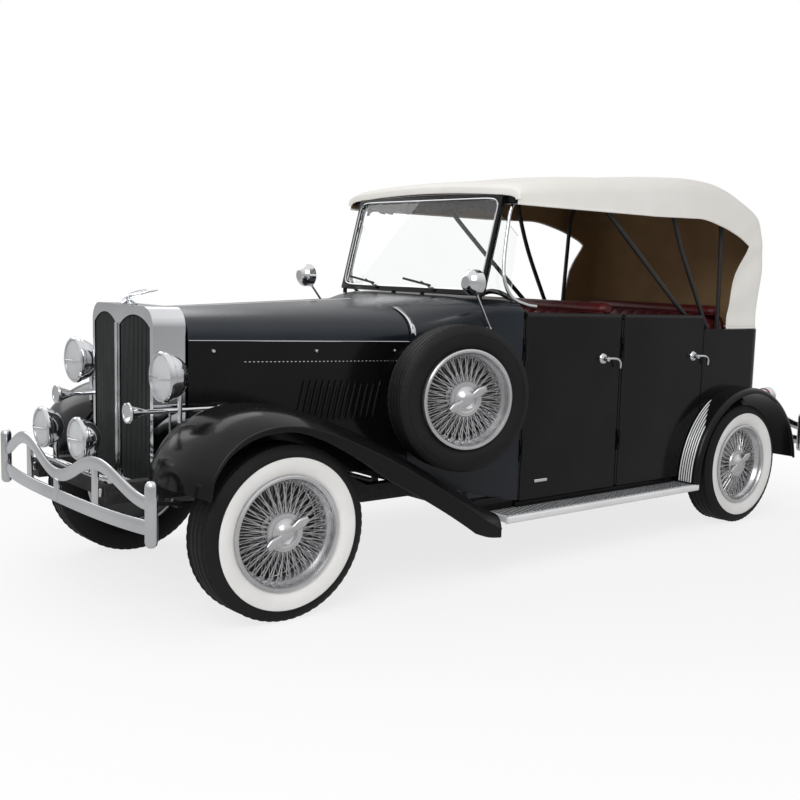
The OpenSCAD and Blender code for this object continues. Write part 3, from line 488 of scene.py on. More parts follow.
@dataclass(frozen=True)
class Finish:
    """A finish of the car: two tones, gloss, relief, wear and dust."""

    name: str
    colour: tuple[float, float, float]
    tone: tuple[float, float, float]
    roughness: tuple[float, float]
    metallic: float = 0.0
    ior: float = 1.45
    coat: float = 0.0
    cloud: float = 3.0
    pattern: Pattern = Pattern.GRAIN
    scale: float = 400.0
    relief: float = 0.05
    depth: float = 0.001
    wear: float = 0.0
    worn: tuple[float, float, float] = (0.3, 0.3, 0.3)
    dust: float = 0.0
    clear: float = 0.0
    sheen: float = 0.0

    def material(self) -> bpy.types.Material:
        """The material of this finish, made on the first call.

        Returns:
            The material.
        """
        found = bpy.data.materials.get(self.name)
        if found:
            return found
        made = bpy.data.materials.new(self.name)
        made.use_nodes = True
        nodes = Nodes(made.node_tree)
        tone = self.group(nodes, "cloudy", Scale=self.cloud)
        colour = nodes.mix(tone, (*self.colour, 1.0), (*self.tone, 1.0))
        if self.wear:
            colour = nodes.mix(self.group(nodes, "wear", Amount=self.wear), colour, (*self.worn, 1.0))
        rough = nodes.span(tone, 0.0, 1.0, *self.roughness)
        if self.dust:
            dust = self.group(nodes, "dust", Amount=self.dust)
            colour = nodes.mix(dust, colour, (0.32, 0.3, 0.27, 1.0))
            rough = nodes.span(dust, 0.0, 1.0, rough, 0.8)
        height = self.group(nodes, self.pattern.value, Scale=self.scale)
        bump = nodes.add("ShaderNodeBump", None, Height=height, Strength=self.relief, Distance=self.depth)
        shader = nodes.add("ShaderNodeBsdfPrincipled", None, Base_Color=colour, Roughness=rough,
                           Metallic=self.metallic, IOR=self.ior, Normal=bump.outputs[0])
        shader.inputs["Coat Weight"].default_value = self.coat
        shader.inputs["Coat Roughness"].default_value = 0.04
        shader.inputs["Transmission Weight"].default_value = self.clear
        shader.inputs["Sheen Weight"].default_value = self.sheen
        nodes.add("ShaderNodeOutputMaterial", None, Surface=shader.outputs[0])
        return made

    @staticmethod
    def group(nodes: Nodes, name: str, **inputs: object) -> bpy.types.NodeSocket:
        """First output of a shared group placed in the material."""
        node = nodes.add("ShaderNodeGroup", {"node_tree": Groups.get(name)}, **inputs)
        return node.outputs[0]


PAINT = Finish("black_body_paint", (0.0045, 0.0045, 0.005), (0.007, 0.007, 0.008), (0.12, 0.18), ior=1.3,
               scale=260.0, relief=0.012, wear=0.05, worn=(0.05, 0.05, 0.05), dust=0.02)
HOOD_PAINT = Finish("blue_black_hood_paint", (0.009, 0.013, 0.019), (0.013, 0.017, 0.024), (0.2, 0.27),
                    ior=1.45, scale=260.0, relief=0.012, dust=0.02)
CHROME = Finish("bright_chrome", (0.74, 0.75, 0.77), (0.66, 0.67, 0.69), (0.05, 0.12), metallic=1.0,
                scale=300.0, relief=0.01, wear=0.15, worn=(0.45, 0.44, 0.42))
SPOKE_CHROME = Finish("wheel_chrome", (0.66, 0.66, 0.67), (0.54, 0.54, 0.55), (0.16, 0.28), metallic=0.8,
                      scale=500.0, relief=0.02)
RUBBER = Finish("tyre_rubber", (0.007, 0.007, 0.008), (0.012, 0.012, 0.013), (0.5, 0.66), ior=1.3,
                scale=700.0, relief=0.1, dust=0.03, wear=0.3, worn=(0.025, 0.024, 0.023))
WHITEWALL = Finish("white_sidewall", (0.88, 0.87, 0.855), (0.82, 0.81, 0.79), (0.42, 0.55), scale=600.0,
                   relief=0.05, cloud=6.0)
LEATHER = Finish("dark_red_leather", (0.115, 0.012, 0.014), (0.075, 0.007, 0.009), (0.3, 0.44),
                 pattern=Pattern.LEATHER, scale=260.0, relief=0.25, depth=0.0012, wear=0.25,
                 worn=(0.2, 0.04, 0.04))
CANVAS = Finish("cream_canvas", (0.9, 0.88, 0.84), (0.85, 0.825, 0.775), (0.72, 0.85), pattern=Pattern.WEAVE,
                scale=2400.0, relief=0.25, depth=0.0006, cloud=2.2, sheen=0.1)
LINING = Finish("tan_lining", (0.3, 0.185, 0.085), (0.22, 0.13, 0.058), (0.75, 0.88), pattern=Pattern.WEAVE,
                scale=2400.0, relief=0.2, depth=0.0006, cloud=2.0)
DARK_CLOTH = Finish("dark_valance_cloth", (0.03, 0.025, 0.02), (0.018, 0.015, 0.012), (0.7, 0.85),
                    pattern=Pattern.WEAVE, scale=2600.0, relief=0.2, depth=0.0006)
DARK_STEEL = Finish("chassis_black", (0.012, 0.012, 0.013), (0.022, 0.021, 0.02), (0.45, 0.6), scale=180.0,
                    relief=0.08, wear=0.3, worn=(0.09, 0.085, 0.08), dust=0.12)
CAST = Finish("axle_casting", (0.05, 0.05, 0.052), (0.03, 0.03, 0.031), (0.5, 0.65), metallic=0.4,
              scale=120.0, relief=0.2, wear=0.3, worn=(0.14, 0.14, 0.14), dust=0.1)
TREAD_PLATE = Finish("rolled_tread_plate", (0.8, 0.81, 0.82), (0.72, 0.73, 0.74), (0.3, 0.42), metallic=0.3,
                     pattern=Pattern.BRUSHED, scale=300.0, relief=0.1, wear=0.3, worn=(0.75, 0.75, 0.76))
GRILLE = Finish("dark_radiator_core", (0.04, 0.05, 0.047), (0.022, 0.029, 0.027), (0.4, 0.55), metallic=0.5,
                scale=200.0, relief=0.08)
SCREEN_WIRE = Finish("radiator_wire", (0.1, 0.112, 0.107), (0.07, 0.078, 0.075), (0.25, 0.38), metallic=0.6,
                     scale=260.0, relief=0.03)
GLASS = Finish("window_glass", (0.97, 0.985, 0.98), (0.95, 0.97, 0.965), (0.0, 0.015), ior=1.45, scale=3.0,
               relief=0.004, clear=1.0)
LENS = Finish("fluted_lamp_glass", (0.9, 0.92, 0.93), (0.82, 0.84, 0.86), (0.06, 0.14), ior=1.45,
              pattern=Pattern.BRUSHED, scale=120.0, relief=0.3, depth=0.002, clear=0.5)
RED_LENS = Finish("red_lamp_glass", (0.35, 0.008, 0.006), (0.24, 0.005, 0.004), (0.1, 0.18), scale=160.0,
                  relief=0.2, clear=0.25)
DOOR_TOP = Finish("black_door_top_leather", (0.008, 0.008, 0.008), (0.013, 0.012, 0.012), (0.4, 0.5),
                  ior=1.35, pattern=Pattern.LEATHER, scale=260.0, relief=0.2, depth=0.001)
RIB = Finish("dark_tread_rib", (0.12, 0.125, 0.13), (0.08, 0.083, 0.088), (0.4, 0.55), metallic=0.6,
             scale=260.0, relief=0.08, wear=0.4, worn=(0.4, 0.4, 0.41))
GUARD = Finish("polished_guard_strip", (0.9, 0.9, 0.91), (0.82, 0.82, 0.83), (0.14, 0.24), metallic=0.2,
               pattern=Pattern.BRUSHED, scale=260.0, relief=0.05)
# Grey of the brake drums, which also stands in as painted shade seen through the spokes
DRUM_AND_SHADE = Finish("brake_drum_and_painted_shade", (0.09, 0.092, 0.095), (0.055, 0.057, 0.06), (0.45, 0.6), metallic=0.3,
              scale=200.0, relief=0.08, dust=0.08)
WOOD = Finish("varnished_dash_wood", (0.09, 0.032, 0.012), (0.05, 0.017, 0.007), (0.16, 0.26),
              pattern=Pattern.BRUSHED, scale=80.0, relief=0.06, coat=0.5, cloud=7.0)
DIAL = Finish("cream_dial_face", (0.7, 0.66, 0.55), (0.62, 0.58, 0.48), (0.4, 0.5), scale=300.0, relief=0.03)
CARPET = Finish("dark_carpet", (0.03, 0.012, 0.011), (0.02, 0.008, 0.008), (0.85, 0.95), scale=900.0,
                relief=0.6, depth=0.002, sheen=0.2)
BAKELITE = Finish("black_bakelite", (0.01, 0.01, 0.01), (0.016, 0.015, 0.015), (0.22, 0.34), scale=300.0,
                  relief=0.03)
BATTERY = Finish("battery_case", (0.03, 0.032, 0.034), (0.02, 0.021, 0.023), (0.5, 0.62), scale=220.0,
                 relief=0.1, dust=0.1)

# Finish of each CAD node that stays in view
NODE_FINISH: dict[str, Finish] = {
    "chassis_rails": DARK_STEEL, "cross_members": DARK_STEEL, "tow_members": DARK_STEEL,
    "board_irons": DARK_STEEL, "front_axle": CAST, "rear_axle": CAST, "leaf_springs": DARK_STEEL,
    "battery_pack": BATTERY, "floor_pan": CARPET, "knuckle_left": CAST, "knuckle_right": CAST,
    "tie_rod": CAST, "firewall": DARK_STEEL, "hood_sides": PAINT, "radiator_grille": GRILLE, "lamps": CHROME,
    "lamp_lenses": LENS, "tail_lamps": RED_LENS, "horns": CHROME, "rear_fenders": PAINT,
    "running_boards": TREAD_PLATE, "windshield_frame": PAINT, "windshield_glass": GLASS, "mirrors": CHROME,
    "dashboard": WOOD, "steering_column": BAKELITE, "steering_wheel": BAKELITE}


# Pieces


def put(name: str, patches: Sequence[Patch], finishes: Sequence[Finish], body: str = ROOT,
        crease: float = 35.0, stands_for: Sequence[str] = (), open_edge: bool = False) -> bpy.types.Object:
    """Makes one piece of many patches and lets it ride on a body.

    Args:
        name: Name of the piece.
        patches: Its surfaces.
        finishes: Finishes by number.
        body: The CAD body that it moves with.
        crease: Angle above which an edge stays sharp, in degrees.
        stands_for: CAD nodes that it replaces.
        open_edge: Whether it is an open sheet, whose faces keep their way round.

    Returns:
        The object.
    """
    shift = np.cumsum([0, *(len(p.points) for p in patches)])[:-1]
    points = np.concatenate([p.points for p in patches])
    quads = np.concatenate([p.quads + s for p, s in zip(patches, shift)]).astype(int)
    tris = np.concatenate([p.tris + s for p, s in zip(patches, shift)]).astype(int)
    four = np.concatenate([np.broadcast_to(p.slot, len(p.quads)) for p in patches])
    three = np.concatenate([np.broadcast_to(p.slot if np.isscalar(p.slot) else 0, len(p.tris))
                            for p in patches])
    mesh = bpy.data.meshes.new(name)
    mesh.from_pydata(points.tolist(), [], [*quads.tolist(), *tris.tolist()])
    for finish in finishes:
        mesh.materials.append(finish.material())
    mesh.polygons.foreach_set("material_index", np.concatenate([four, three]).astype(np.int32))
    work = bmesh.new()
    work.from_mesh(mesh)
    bmesh.ops.remove_doubles(work, verts=work.verts, dist=1e-6)
    if not open_edge:
        bmesh.ops.recalc_face_normals(work, faces=work.faces)
    work.to_mesh(mesh)
    work.free()
    mesh.shade_smooth()
    mesh.set_sharp_from_angle(angle=math.radians(crease))
    made = bpy.data.objects.new(name, mesh)
    bpy.context.scene.collection.objects.link(made)
    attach(made, body)
    if stands_for:
        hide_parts(*stands_for)
    LOG.info("%s: %d points on %s", name, len(mesh.vertices), body)
    return made


def rounded_node(node: str, finish: Finish, width: float, body: str = ROOT) -> bpy.types.Object:
    """A copy of a plain CAD panel with its edges rounded, which stands for the node.

    Args:
        node: The CAD node.
        finish: Its finish.
        width: Width of the round edge, in metres.
        body: The CAD body that it moves with.

    Returns:
        The object.
    """
    work = bmesh.new()
    work.from_mesh(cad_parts[node].data)
    bmesh.ops.remove_doubles(work, verts=work.verts, dist=1e-5)
    bmesh.ops.dissolve_limit(work, angle_limit=math.radians(1.5), verts=work.verts, edges=work.edges)
    mesh = bpy.data.meshes.new(f"{node}_panel")
    work.to_mesh(mesh)
    work.free()
    mesh.materials.clear()
    mesh.materials.append(finish.material())
    mesh.shade_smooth()
    mesh.set_sharp_from_angle(angle=math.radians(35))
    made = bpy.data.objects.new(f"{node}_panel", mesh)
    bpy.context.scene.collection.objects.link(made)
    bevel = made.modifiers.new("round_edges", "BEVEL")
    bevel.width = width
    bevel.segments = 3
    bevel.limit_method = "ANGLE"
    bevel.angle_limit = math.radians(40)
    bevel.harden_normals = True
    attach(made, body)
    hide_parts(node)
    LOG.info("%s rounded on %s", node, body)
    return made


@dataclass
class Wheel:
    """A wire wheel with its tyre, drawn about a local Z axis that points out of the car."""

    name: str
    centre: Array
    axis: tuple[float, float, float]
    body: str
    tyre_node: str
    wheel_node: str
    radius: float = 0.36
    width: float = 0.19
    bead: float = 0.236
    white_to: float = 0.313
    steps: int = 180
    spokes: int = 60
    spoke_r: float = 0.0019
    grooves: int = 4
    groove_width: float = 0.0032
    groove_depth: float = 0.007
    zigzag: float = 0.004
    shoulder_cuts: int = 60
    tread_depth: float = 0.03

    def frame(self) -> Array:
        """Matrix from the wheel's own axes to the car's."""
        return basis(self.axis)

    def tyre(self) -> list[Patch]:
        """Tyre: two round side walls and a crowned tread with four zigzag grooves and shoulder cuts.

        Returns:
            Outer wall, tread and inner wall in one closed ring.
        """
        mid, half = (self.radius + self.bead) / 2, self.width / 2
        reach = math.asin((self.radius - mid) / half)
        edge = math.asin((self.white_to - mid) / half)
        rise = np.concatenate([np.linspace(-reach, edge, 9), np.linspace(edge, reach, 8)[1:]])
        wall = np.stack([mid + half * np.sin(rise), half * np.cos(rise)], axis=-1)
        flat = half * math.cos(reach)
        a = np.linspace(flat, -flat, 41)[1:-1]
        tread = np.stack([self.radius - a**2 / 0.8, a], axis=-1)
        back = wall[::-1] * np.array([1.0, -1.0])
        section = np.concatenate([wall, tread, back])
        angle = np.linspace(0, 2 * np.pi, self.steps, endpoint=False)
        zig = np.abs((angle * 30 / np.pi) % 2 - 1) - 0.5
        axial = section[:, 1:2]
        lines = (np.arange(self.grooves) - (self.grooves - 1) / 2)[:, None, None] * flat * 0.46
        groove = np.exp(-(((axial[None] - lines - self.zigzag * zig) / self.groove_width) ** 2)).max(0)
        at_shoulder = np.clip((np.abs(axial) / flat - 0.82) * 8, 0, 1)
        cuts = np.clip(np.sin(angle * self.shoulder_cuts) * 4 - 2.6, 0, 1)[None] * at_shoulder
        above = section[:, 0:1] - self.radius + self.tread_depth
        on_tread = np.clip(above / 0.02, 0, 1)
        radius = section[:, 0:1] - self.groove_depth * np.maximum(groove, cuts * 0.35) * on_tread
        points = np.stack([radius * np.cos(angle), radius * np.sin(angle), np.repeat(axial, self.steps, 1)],
                          axis=-1)
        ring = grid(points, wrap_rows=True, wrap_cols=True)
        white = np.repeat(np.arange(len(section)) < 8, self.steps).astype(int)
        return [ring.painted(white)]

    def ridge(self) -> Patch:
        """Thin rib that parts the white band from the black wall."""
        angle = np.linspace(0, 2 * np.pi, self.steps, endpoint=False)
        mid, half = (self.radius + self.bead) / 2, self.width / 2
        height = math.sqrt(half**2 - (self.white_to - mid) ** 2)
        reach = self.white_to
        path = np.stack([reach * np.cos(angle), reach * np.sin(angle), np.full(self.steps, height)], axis=-1)
        return sweep(path, circle(0.0022, 6), closed=True)

    def rim(self) -> Patch:
        """Chrome rim: rolled lips at both edges and a stepped well between them."""
        r = self.bead - 0.0005
        side = np.array([[r, 0.07], [r + 0.003, 0.078], [r + 0.002, 0.085], [r - 0.004, 0.0885],
                         [r - 0.012, 0.087], [r - 0.016, 0.08], [r - 0.018, 0.07], [r - 0.021, 0.055],
                         [r - 0.03, 0.046], [r - 0.034, 0.034]])
        profile = np.concatenate([side, side[::-1] * np.array([1.0, -1.0])])
        return lathe(profile, 96, closed=True)

    def lacing(self) -> list[Patch]:
        """Three rows of wires from the hub's flanges to the rim, leaning one way and the other in turn.

        Returns:
            The wires with their nipples.
        """
        rim_r = self.bead - 0.03
        made = []
        # Radius and place of the foot on the hub, place on the rim, lean and first angle in pitches
        rows = ((0.070, 0.052, 0.026, 0.16, 0.0), (0.066, 0.040, -0.004, 0.3, 0.3),
                (0.047, -0.046, 0.014, 0.4, 0.6))
        for hub_r, hub_z, rim_z, lean, start in rows:
            k = np.arange(self.spokes)
            a = (k + start) * 2 * np.pi / self.spokes
            b = a + np.where(k % 2 == 0, lean, -lean) * 0.6
            foot = np.stack([hub_r * np.cos(a), hub_r * np.sin(a), np.full(self.spokes, hub_z)], axis=-1)
            tip = np.stack([rim_r * np.cos(b), rim_r * np.sin(b), np.full(self.spokes, rim_z)], axis=-1)
            nipple = tip * 0.93 + foot * 0.07
            made += [self.bars(foot, tip, self.spoke_r, 6), self.bars(nipple, tip, self.spoke_r * 2.1, 6)]
        return made

    @staticmethod
    def bars(start: Array, end: Array, radius: float, sides: int) -> Patch:
        """Straight round bars from each start to each end, closed at both ends by fans.

        Args:
            start: Start points.
            end: End points.
            radius: Radius of a bar.
            sides: Sides of a bar.

        Returns:
            All bars as one patch.
        """
        run = unit(end - start)
        upright = np.abs(run[:, 2:]) > 0.9
        across = unit(np.cross(run, np.where(upright, [[0.0, 1.0, 0.0]], [[0.0, 0.0, 1.0]])))
        rise = np.cross(run, across)
        ring = circle(radius, sides)
        round_it = ring[None, :, :1] * across[:, None] + ring[None, :, 1:] * rise[:, None]
        points = np.stack([start[:, None] + round_it, end[:, None] + round_it], axis=1)
        n = np.arange(len(start))[:, None] * 2 * sides
        j = np.arange(sides)[None]
        quads = np.stack([n + j, n + (j + 1) % sides, n + sides + (j + 1) % sides, n + sides + j], axis=-1)
        fan = np.stack([0 * j[:, 2:], j[:, 2:], j[:, 1:-1]], axis=-1)
        tris = np.concatenate([n[..., None] + fan, n[..., None] + sides + fan[..., ::-1]], axis=1)
        return Patch(points.reshape(-1, 3), quads.reshape(-1, 4), tris.reshape(-1, 3))

    def hub(self) -> list[Patch]:
        """Hub shell with flanges, a domed cap and a two-eared locking nut whose ears taper outwards.

        Returns:
            The hub's surfaces.
        """
        shell_profile = [[0.001, -0.052], [0.05, -0.052], [0.052, -0.044], [0.04, -0.038], [0.037, 0.0],
                         [0.05, 0.026], [0.074, 0.034], [0.081, 0.042], [0.083, 0.051], [0.079, 0.058],
                         [0.066, 0.060], [0.058, 0.056], [0.048, 0.060], [0.038, 0.068], [0.03, 0.076],
                         [0.02, 0.081], [0.001, 0.083]]
        span = np.linspace(-0.104, 0.104, 41)
        path = np.stack([span, np.zeros(41), 0.072 + 0.006 * (span / 0.104) ** 2], axis=-1)
        lobes = 0.8 * np.exp(-((np.abs(span) - 0.07) / 0.032) ** 2)
        taper = 0.4 + lobes + 0.6 * np.exp(-((span / 0.03) ** 2))
        ears = sweep(path, oval(0.017, 0.0065, 16), (0, 0, 1), scale=taper)
        tilt = 0.5
        turn = np.array([[math.cos(tilt), -math.sin(tilt), 0], [math.sin(tilt), math.cos(tilt), 0],
                         [0, 0, 1]])
        return [lathe(shell_profile, 64), ears.moved(turn, (0, 0, 0))]

    def drum(self) -> Patch:
        """Brake drum behind the wires, open at its middle for the axle; its dark disc, as wide as the rim's
        well, is also painted shade inside the wheel.
        """
        edge = self.bead - 0.028
        profile = [[0.052, -0.054], [0.12, -0.05], [edge - 0.006, -0.052], [edge, -0.057],
                   [edge - 0.006, -0.062], [0.052, -0.062]]
        return lathe(profile, 64, closed=True).painted(1)

    def build(self, white: bool) -> None:
        """Makes the tyre and the wheel.

        Args:
            white: Whether the tyre has a white band.
        """
        turn = self.frame()
        tyre = [p.moved(turn, self.centre) for p in self.tyre()]
        rib = self.ridge().moved(turn, self.centre)
        wall = WHITEWALL if white else RUBBER
        put(f"{self.name}_tyre", [*tyre, rib], [RUBBER, wall], self.body, 50.0, [self.tyre_node])
        # The drum's dark disc is partly a brake drum and partly painted shade inside the wheel
        metal = [self.rim(), *self.lacing(), *self.hub(), self.drum()]
        put(f"{self.name}_wires", [p.moved(turn, self.centre) for p in metal], [SPOKE_CHROME, DRUM_AND_SHADE],
            self.body, 40.0, [self.wheel_node])


@dataclass
class Spares:
    """The two spare wheels beside the cowl, on their stems."""

    x: float = 0.728
    station: float = 0.928
    z: float = 0.86
    turn: float = math.radians(11)
    radius: float = 0.338
    width: float = 0.164
    stem: float = 0.1779

    def build(self) -> None:
        """Makes both spares, each tyre black all over."""
        tyres, metal = [], []
        for side, _ in SIDES:
            axis = (side * math.cos(self.turn), -math.sin(self.turn), 0.0)
            wheel = Wheel("spare", at(side * self.x, self.station, self.z), axis, ROOT, "", "", self.radius,
                          self.width, bead=0.228, white_to=0.30)
            turn = wheel.frame()
            tyres += [p.moved(turn, wheel.centre) for p in (*wheel.tyre(), wheel.ridge())]
            stem = lathe([[0.001, -self.stem], [0.03, -self.stem], [0.03, -0.06], [0.001, -0.055]], 32)
            # The spares' drums are likewise partly brake drums and partly painted shade
            bright = (wheel.rim(), *wheel.lacing(), *wheel.hub(), wheel.drum(), stem)
            metal += [p.moved(turn, wheel.centre) for p in bright]
        put("spare_rubber", tyres, [RUBBER, RUBBER], crease=50.0, stands_for=["spare_tyres"])
        put("spare_wires", metal, [SPOKE_CHROME, DRUM_AND_SHADE], crease=40.0, stands_for=["spare_wheels"])


@dataclass
class Hood:
    """Hood halves, cowl and their trim; a section is an arch whose squareness falls as e rises."""

    start: float = -0.190
    end: float = 0.812
    half: tuple[float, float] = (0.310, 0.486)
    top: tuple[float, float] = (1.225, 1.282)
    side_z: float = 1.105
    skin: float = 0.009
    ridge: float = 0.003
    e: float = 0.72
    cowl_end: float = 1.3267
    cowl_skin: float = 0.026
    cowl_gap: float = 0.005
    louvre_count: int = 12
    louvre_pitch: float = 0.03
    louvre_start: float = 0.298
    dot_count: int = 40
    dot_z: float = 1.013
    latch_z: float = 1.06
    # Share of the way back, half width, top, shoulder, squareness and foot of the cowl
    cowl_rows: tuple = ((0.0, 0.489, 1.282, 1.105, 0.72, 0.430), (0.35, 0.560, 1.300, 1.160, 0.60, 0.405),
                        (0.68, 0.648, 1.317, 1.215, 0.45, 0.360), (1.0, 0.715, 1.322, 1.222, 0.42, 0.332))

    @staticmethod
    def arch(half: Array, low: Array, top: Array, angle: Array, e: Array) -> tuple[Array, Array]:
        """Width and height on an arch: powers of the angle's cosine and sine."""
        return half * np.cos(angle) ** e, low + (top - low) * np.sin(angle) ** (e + 0.06)

    def half_at(self, station: Array) -> Array:
        """Half the hood's width at a station."""
        return np.interp(station, [self.start, self.end], self.half)

    def top_at(self, station: Array) -> Array:
        """Height of the hood's ridge at a station."""
        return np.interp(station, [self.start, self.end], self.top)

    def half_skin(self) -> Patch:
        """The left half: the arch from its lower edge to the ridge, carried back with a taper.

        Returns:
            A closed sheet.
        """
        s = np.linspace(self.start, self.end, 40)[:, None]
        angle = (np.pi / 2 * (1 - np.cos(np.linspace(0, np.pi, 61))) / 2)[None]
        angle = np.minimum(angle, np.pi / 2 - 1e-6)
        grids = []
        for inset in (0.0, self.skin):
            x, z = self.arch(self.half_at(s) - inset, self.side_z, self.top_at(s) - inset, angle, self.e)
            x = np.maximum(x, self.ridge)
            grids.append(np.stack(np.broadcast_arrays(x, FRONT_AXLE_Y + s, z), axis=-1))
        return shell(*grids)

    def cowl_at(self, share: Array, column: int) -> Array:
        """A column of the cowl's rows at a share of the way back, on the cubic through the rows."""
        rows = np.array(self.cowl_rows)
        return np.polyval(np.polyfit(rows[:, 0], rows[:, column], 3), share)

    def cowl_point(self, share: Array, angle: Array, inset: float = 0.0) -> Array:
        """Points of the cowl's arch: angle 0 at the left shoulder, half a turn at the right one.

        Args:
            share: Share of the way back.
            angle: Angle over the arch.
            inset: Depth below the outer skin.

        Returns:
            The points.
        """
        folded = np.clip(np.minimum(angle, np.pi - angle), 0, np.pi / 2 - 1e-9)
        half, top = self.cowl_at(share, 1) - inset, self.cowl_at(share, 2) - inset
        x, z = self.arch(half, self.cowl_at(share, 3), top, folded, self.cowl_at(share, 4))
        station = self.end + self.cowl_gap + share * (self.cowl_end - self.end - self.cowl_gap)
        return np.stack(np.broadcast_arrays(np.where(angle > np.pi / 2, -x, x), FRONT_AXLE_Y + station, z),
                        axis=-1)

    def cowl(self) -> Patch:
        """Cowl: walls up from the foot, then an arch whose width, height and squareness change along it.

        Returns:
            A closed sheet.
        """
        share = np.linspace(0, 1, 40)[:, None]
        angle = (np.pi / 2 * (1 - np.cos(np.linspace(0, np.pi, 97))))[None]
        grids = []
        for inset in (0.0, self.cowl_skin):
            arch = self.cowl_point(share, angle, inset)
            rise = np.linspace(0, 1, 7)[:-1][None, :, None]
            left, right = arch[:, :1], arch[:, -1:]
            low = self.cowl_at(share, 5)[..., None] * np.array([0.0, 0.0, 1.0])
            foot = np.array([1.0, 1.0, 0.0]) * left + low
            foot_r = np.array([1.0, 1.0, 0.0]) * right + low
            far = (foot_r + (right - foot_r) * rise)[:, ::-1]
            grids.append(np.concatenate([foot + (left - foot) * rise, arch, far], axis=1))
        return shell(*grids)

    def trim(self) -> list[Patch]:
        """Chrome of the hood: side hinge rods, a dotted row, latches and the short bands at the cowl.

        Returns:
            The trim of both sides.
        """
        s = np.linspace(self.start, self.end, 12)
        line = np.stack([self.half_at(s) + 0.0015, s, np.full(12, self.side_z - 0.0025)], axis=-1)
        rod = tube(stations(line), 0.0028, 10)
        dots = np.linspace(0.045, 0.765, self.dot_count)
        places = stations(np.stack([self.half_at(dots) + 0.001, dots, np.full(dots.size, self.dot_z)],
                                   axis=-1))
        row = repeated(block((-0.003, -0.0055, -0.003), (0.003, 0.0055, 0.003), 0.0028, 3), places)
        latch = lathe([[0.001, -0.002], [0.009, -0.002], [0.009, 0.006], [0.006, 0.011], [0.001, 0.012]], 20)
        latches = [latch.moved(basis(LEFT), at(self.half_at(p), p, self.latch_z))
                   for p in (-0.09, 0.36, 0.74)]
        angle = np.radians(np.linspace(4, 52, 30))
        band = self.cowl_point(np.full(30, 0.03), angle) + np.array([0.002, 0.0, 0.002])
        strap = sweep(band, oval(0.003, 0.014, 10, 4.0), BACK)
        return both([rod, row, *latches, strap])

    def louvres(self) -> list[Patch]:
        """Raised lips of the side louvres: each a half-round bar that swells from its ends to its middle.

        Returns:
            The lips of both sides.
        """
        t = np.linspace(0, 1, 14)
        swell = np.sin(np.pi * t) ** 0.4 + 0.05
        made = []
        for first in np.arange(self.louvre_count) * self.louvre_pitch + self.louvre_start:
            station = first + 0.04 * t
            path = stations(np.stack([self.half_at(station) + 0.006, station, 0.745 + 0.18 * t], axis=-1))
            made.append(sweep(path, oval(0.0075, 0.006, 12), LEFT, scale=swell))
        return both(made)

    def build(self) -> None:
        """Makes the halves on their own bodies, the cowl and the trim."""
        left = self.half_skin()
        put("hood_left_skin", [left], [HOOD_PAINT], "left_hood", 30.0, ["hood_left"])
        put("hood_right_skin", [left.mirrored()], [HOOD_PAINT], "right_hood", 30.0, ["hood_right"])
        put("cowl_skin", [self.cowl()], [HOOD_PAINT], crease=30.0, stands_for=["cowl"])
        put("hood_trim", self.trim(), [CHROME])
        put("hood_louvre_lips", self.louvres(), [PAINT])


@dataclass
class Fenders:
    """Front fenders: a crowned strip carried along a path from the front lip over the tyre to the board."""

    # Station and height of the crown line
    path: tuple = ((-0.432, 0.560), (-0.408, 0.655), (-0.340, 0.756), (-0.236, 0.828), (-0.110, 0.862),
                   (0.030, 0.858), (0.180, 0.818), (0.340, 0.752), (0.500, 0.674), (0.660, 0.588),
                   (0.820, 0.496), (0.960, 0.408), (1.060, 0.340), (1.150, 0.296))
    outer: float = 0.846
    skin: float = 0.012
    bead: float = 0.006
    # Station and depth of the flange that hangs from the outer edge
    flange: tuple = ((-0.432, 0.003), (0.0, 0.006), (0.1, 0.014), (0.3, 0.040), (0.48, 0.072),
                     (1.0, 0.080), (1.15, 0.030))

    def inner(self, station: Array, hood: Hood) -> Array:
        """Inner edge of the strip beside the hood and the cowl."""
        rows = np.array(hood.cowl_rows)
        cowl_s = hood.end + hood.cowl_gap + rows[:, 0] * (hood.cowl_end - hood.end - hood.cowl_gap)
        beside_hood = np.maximum(hood.half_at(station), 0.379)
        return np.where(station < hood.end, beside_hood, np.interp(station, cowl_s, rows[:, 1])) + 0.004

    def surface(self, hood: Hood, depth: float) -> Array:
        """Points of one skin: the path's normal carries the crown, which falls to both edges.

        Args:
            hood: The hood, whose side the inner edge follows.
            depth: Depth below the outer skin.

        Returns:
            Rows along the path by columns across.
        """
        line = curve(self.path, 120)
        run = unit(np.gradient(line, axis=0))
        normal = np.stack([-run[:, 1], run[:, 0]], axis=-1)
        share = np.sin(np.linspace(0, np.pi / 2, 33))[None]
        crown = -0.062 * (np.abs(2 * share - 0.9) / 1.1) ** 2.6
        place = line[:, None] + normal[:, None] * (crown - depth)[..., None]
        inner = self.inner(line[:, 0], hood)[:, None]
        outer = (self.outer - 0.014 * np.linspace(0, 1, len(line)) - depth)[:, None]
        x = inner + (outer - inner) * share
        top = np.stack([x, FRONT_AXLE_Y + place[..., 0], place[..., 1]], axis=-1)
        foot = line + normal * (crown[0, -1] - self.skin)
        low = foot[:, 1] - np.interp(line[:, 0], *np.array(self.flange).T)
        hem = np.stack([outer[:, 0], FRONT_AXLE_Y + (line + normal * crown[0, -1])[:, 0], low], axis=-1)
        t = np.linspace(0, 1, 7)[None, 1:, None]
        return np.concatenate([top, top[:, -1:] * (1 - t) + hem[:, None] * t], axis=1)

    def build(self, hood: Hood) -> None:
        """Makes both front fenders with rolled beads at the outer edge and along the flange's hem.

        Args:
            hood: The hood, whose side the inner edge follows.
        """
        outer, under = self.surface(hood, 0.0), self.surface(hood, self.skin)
        edge = outer[:, 32] - np.array([0.003, 0.0, 0.003])
        hem = (outer[:, -1] + under[:, -1]) / 2
        beads = [tube(edge, self.bead, 12, LEFT), tube(hem, self.bead, 12, LEFT)]
        put("front_fender_skins", both([shell(outer, under), *beads]), [PAINT], crease=40.0,
            stands_for=["front_fenders"])


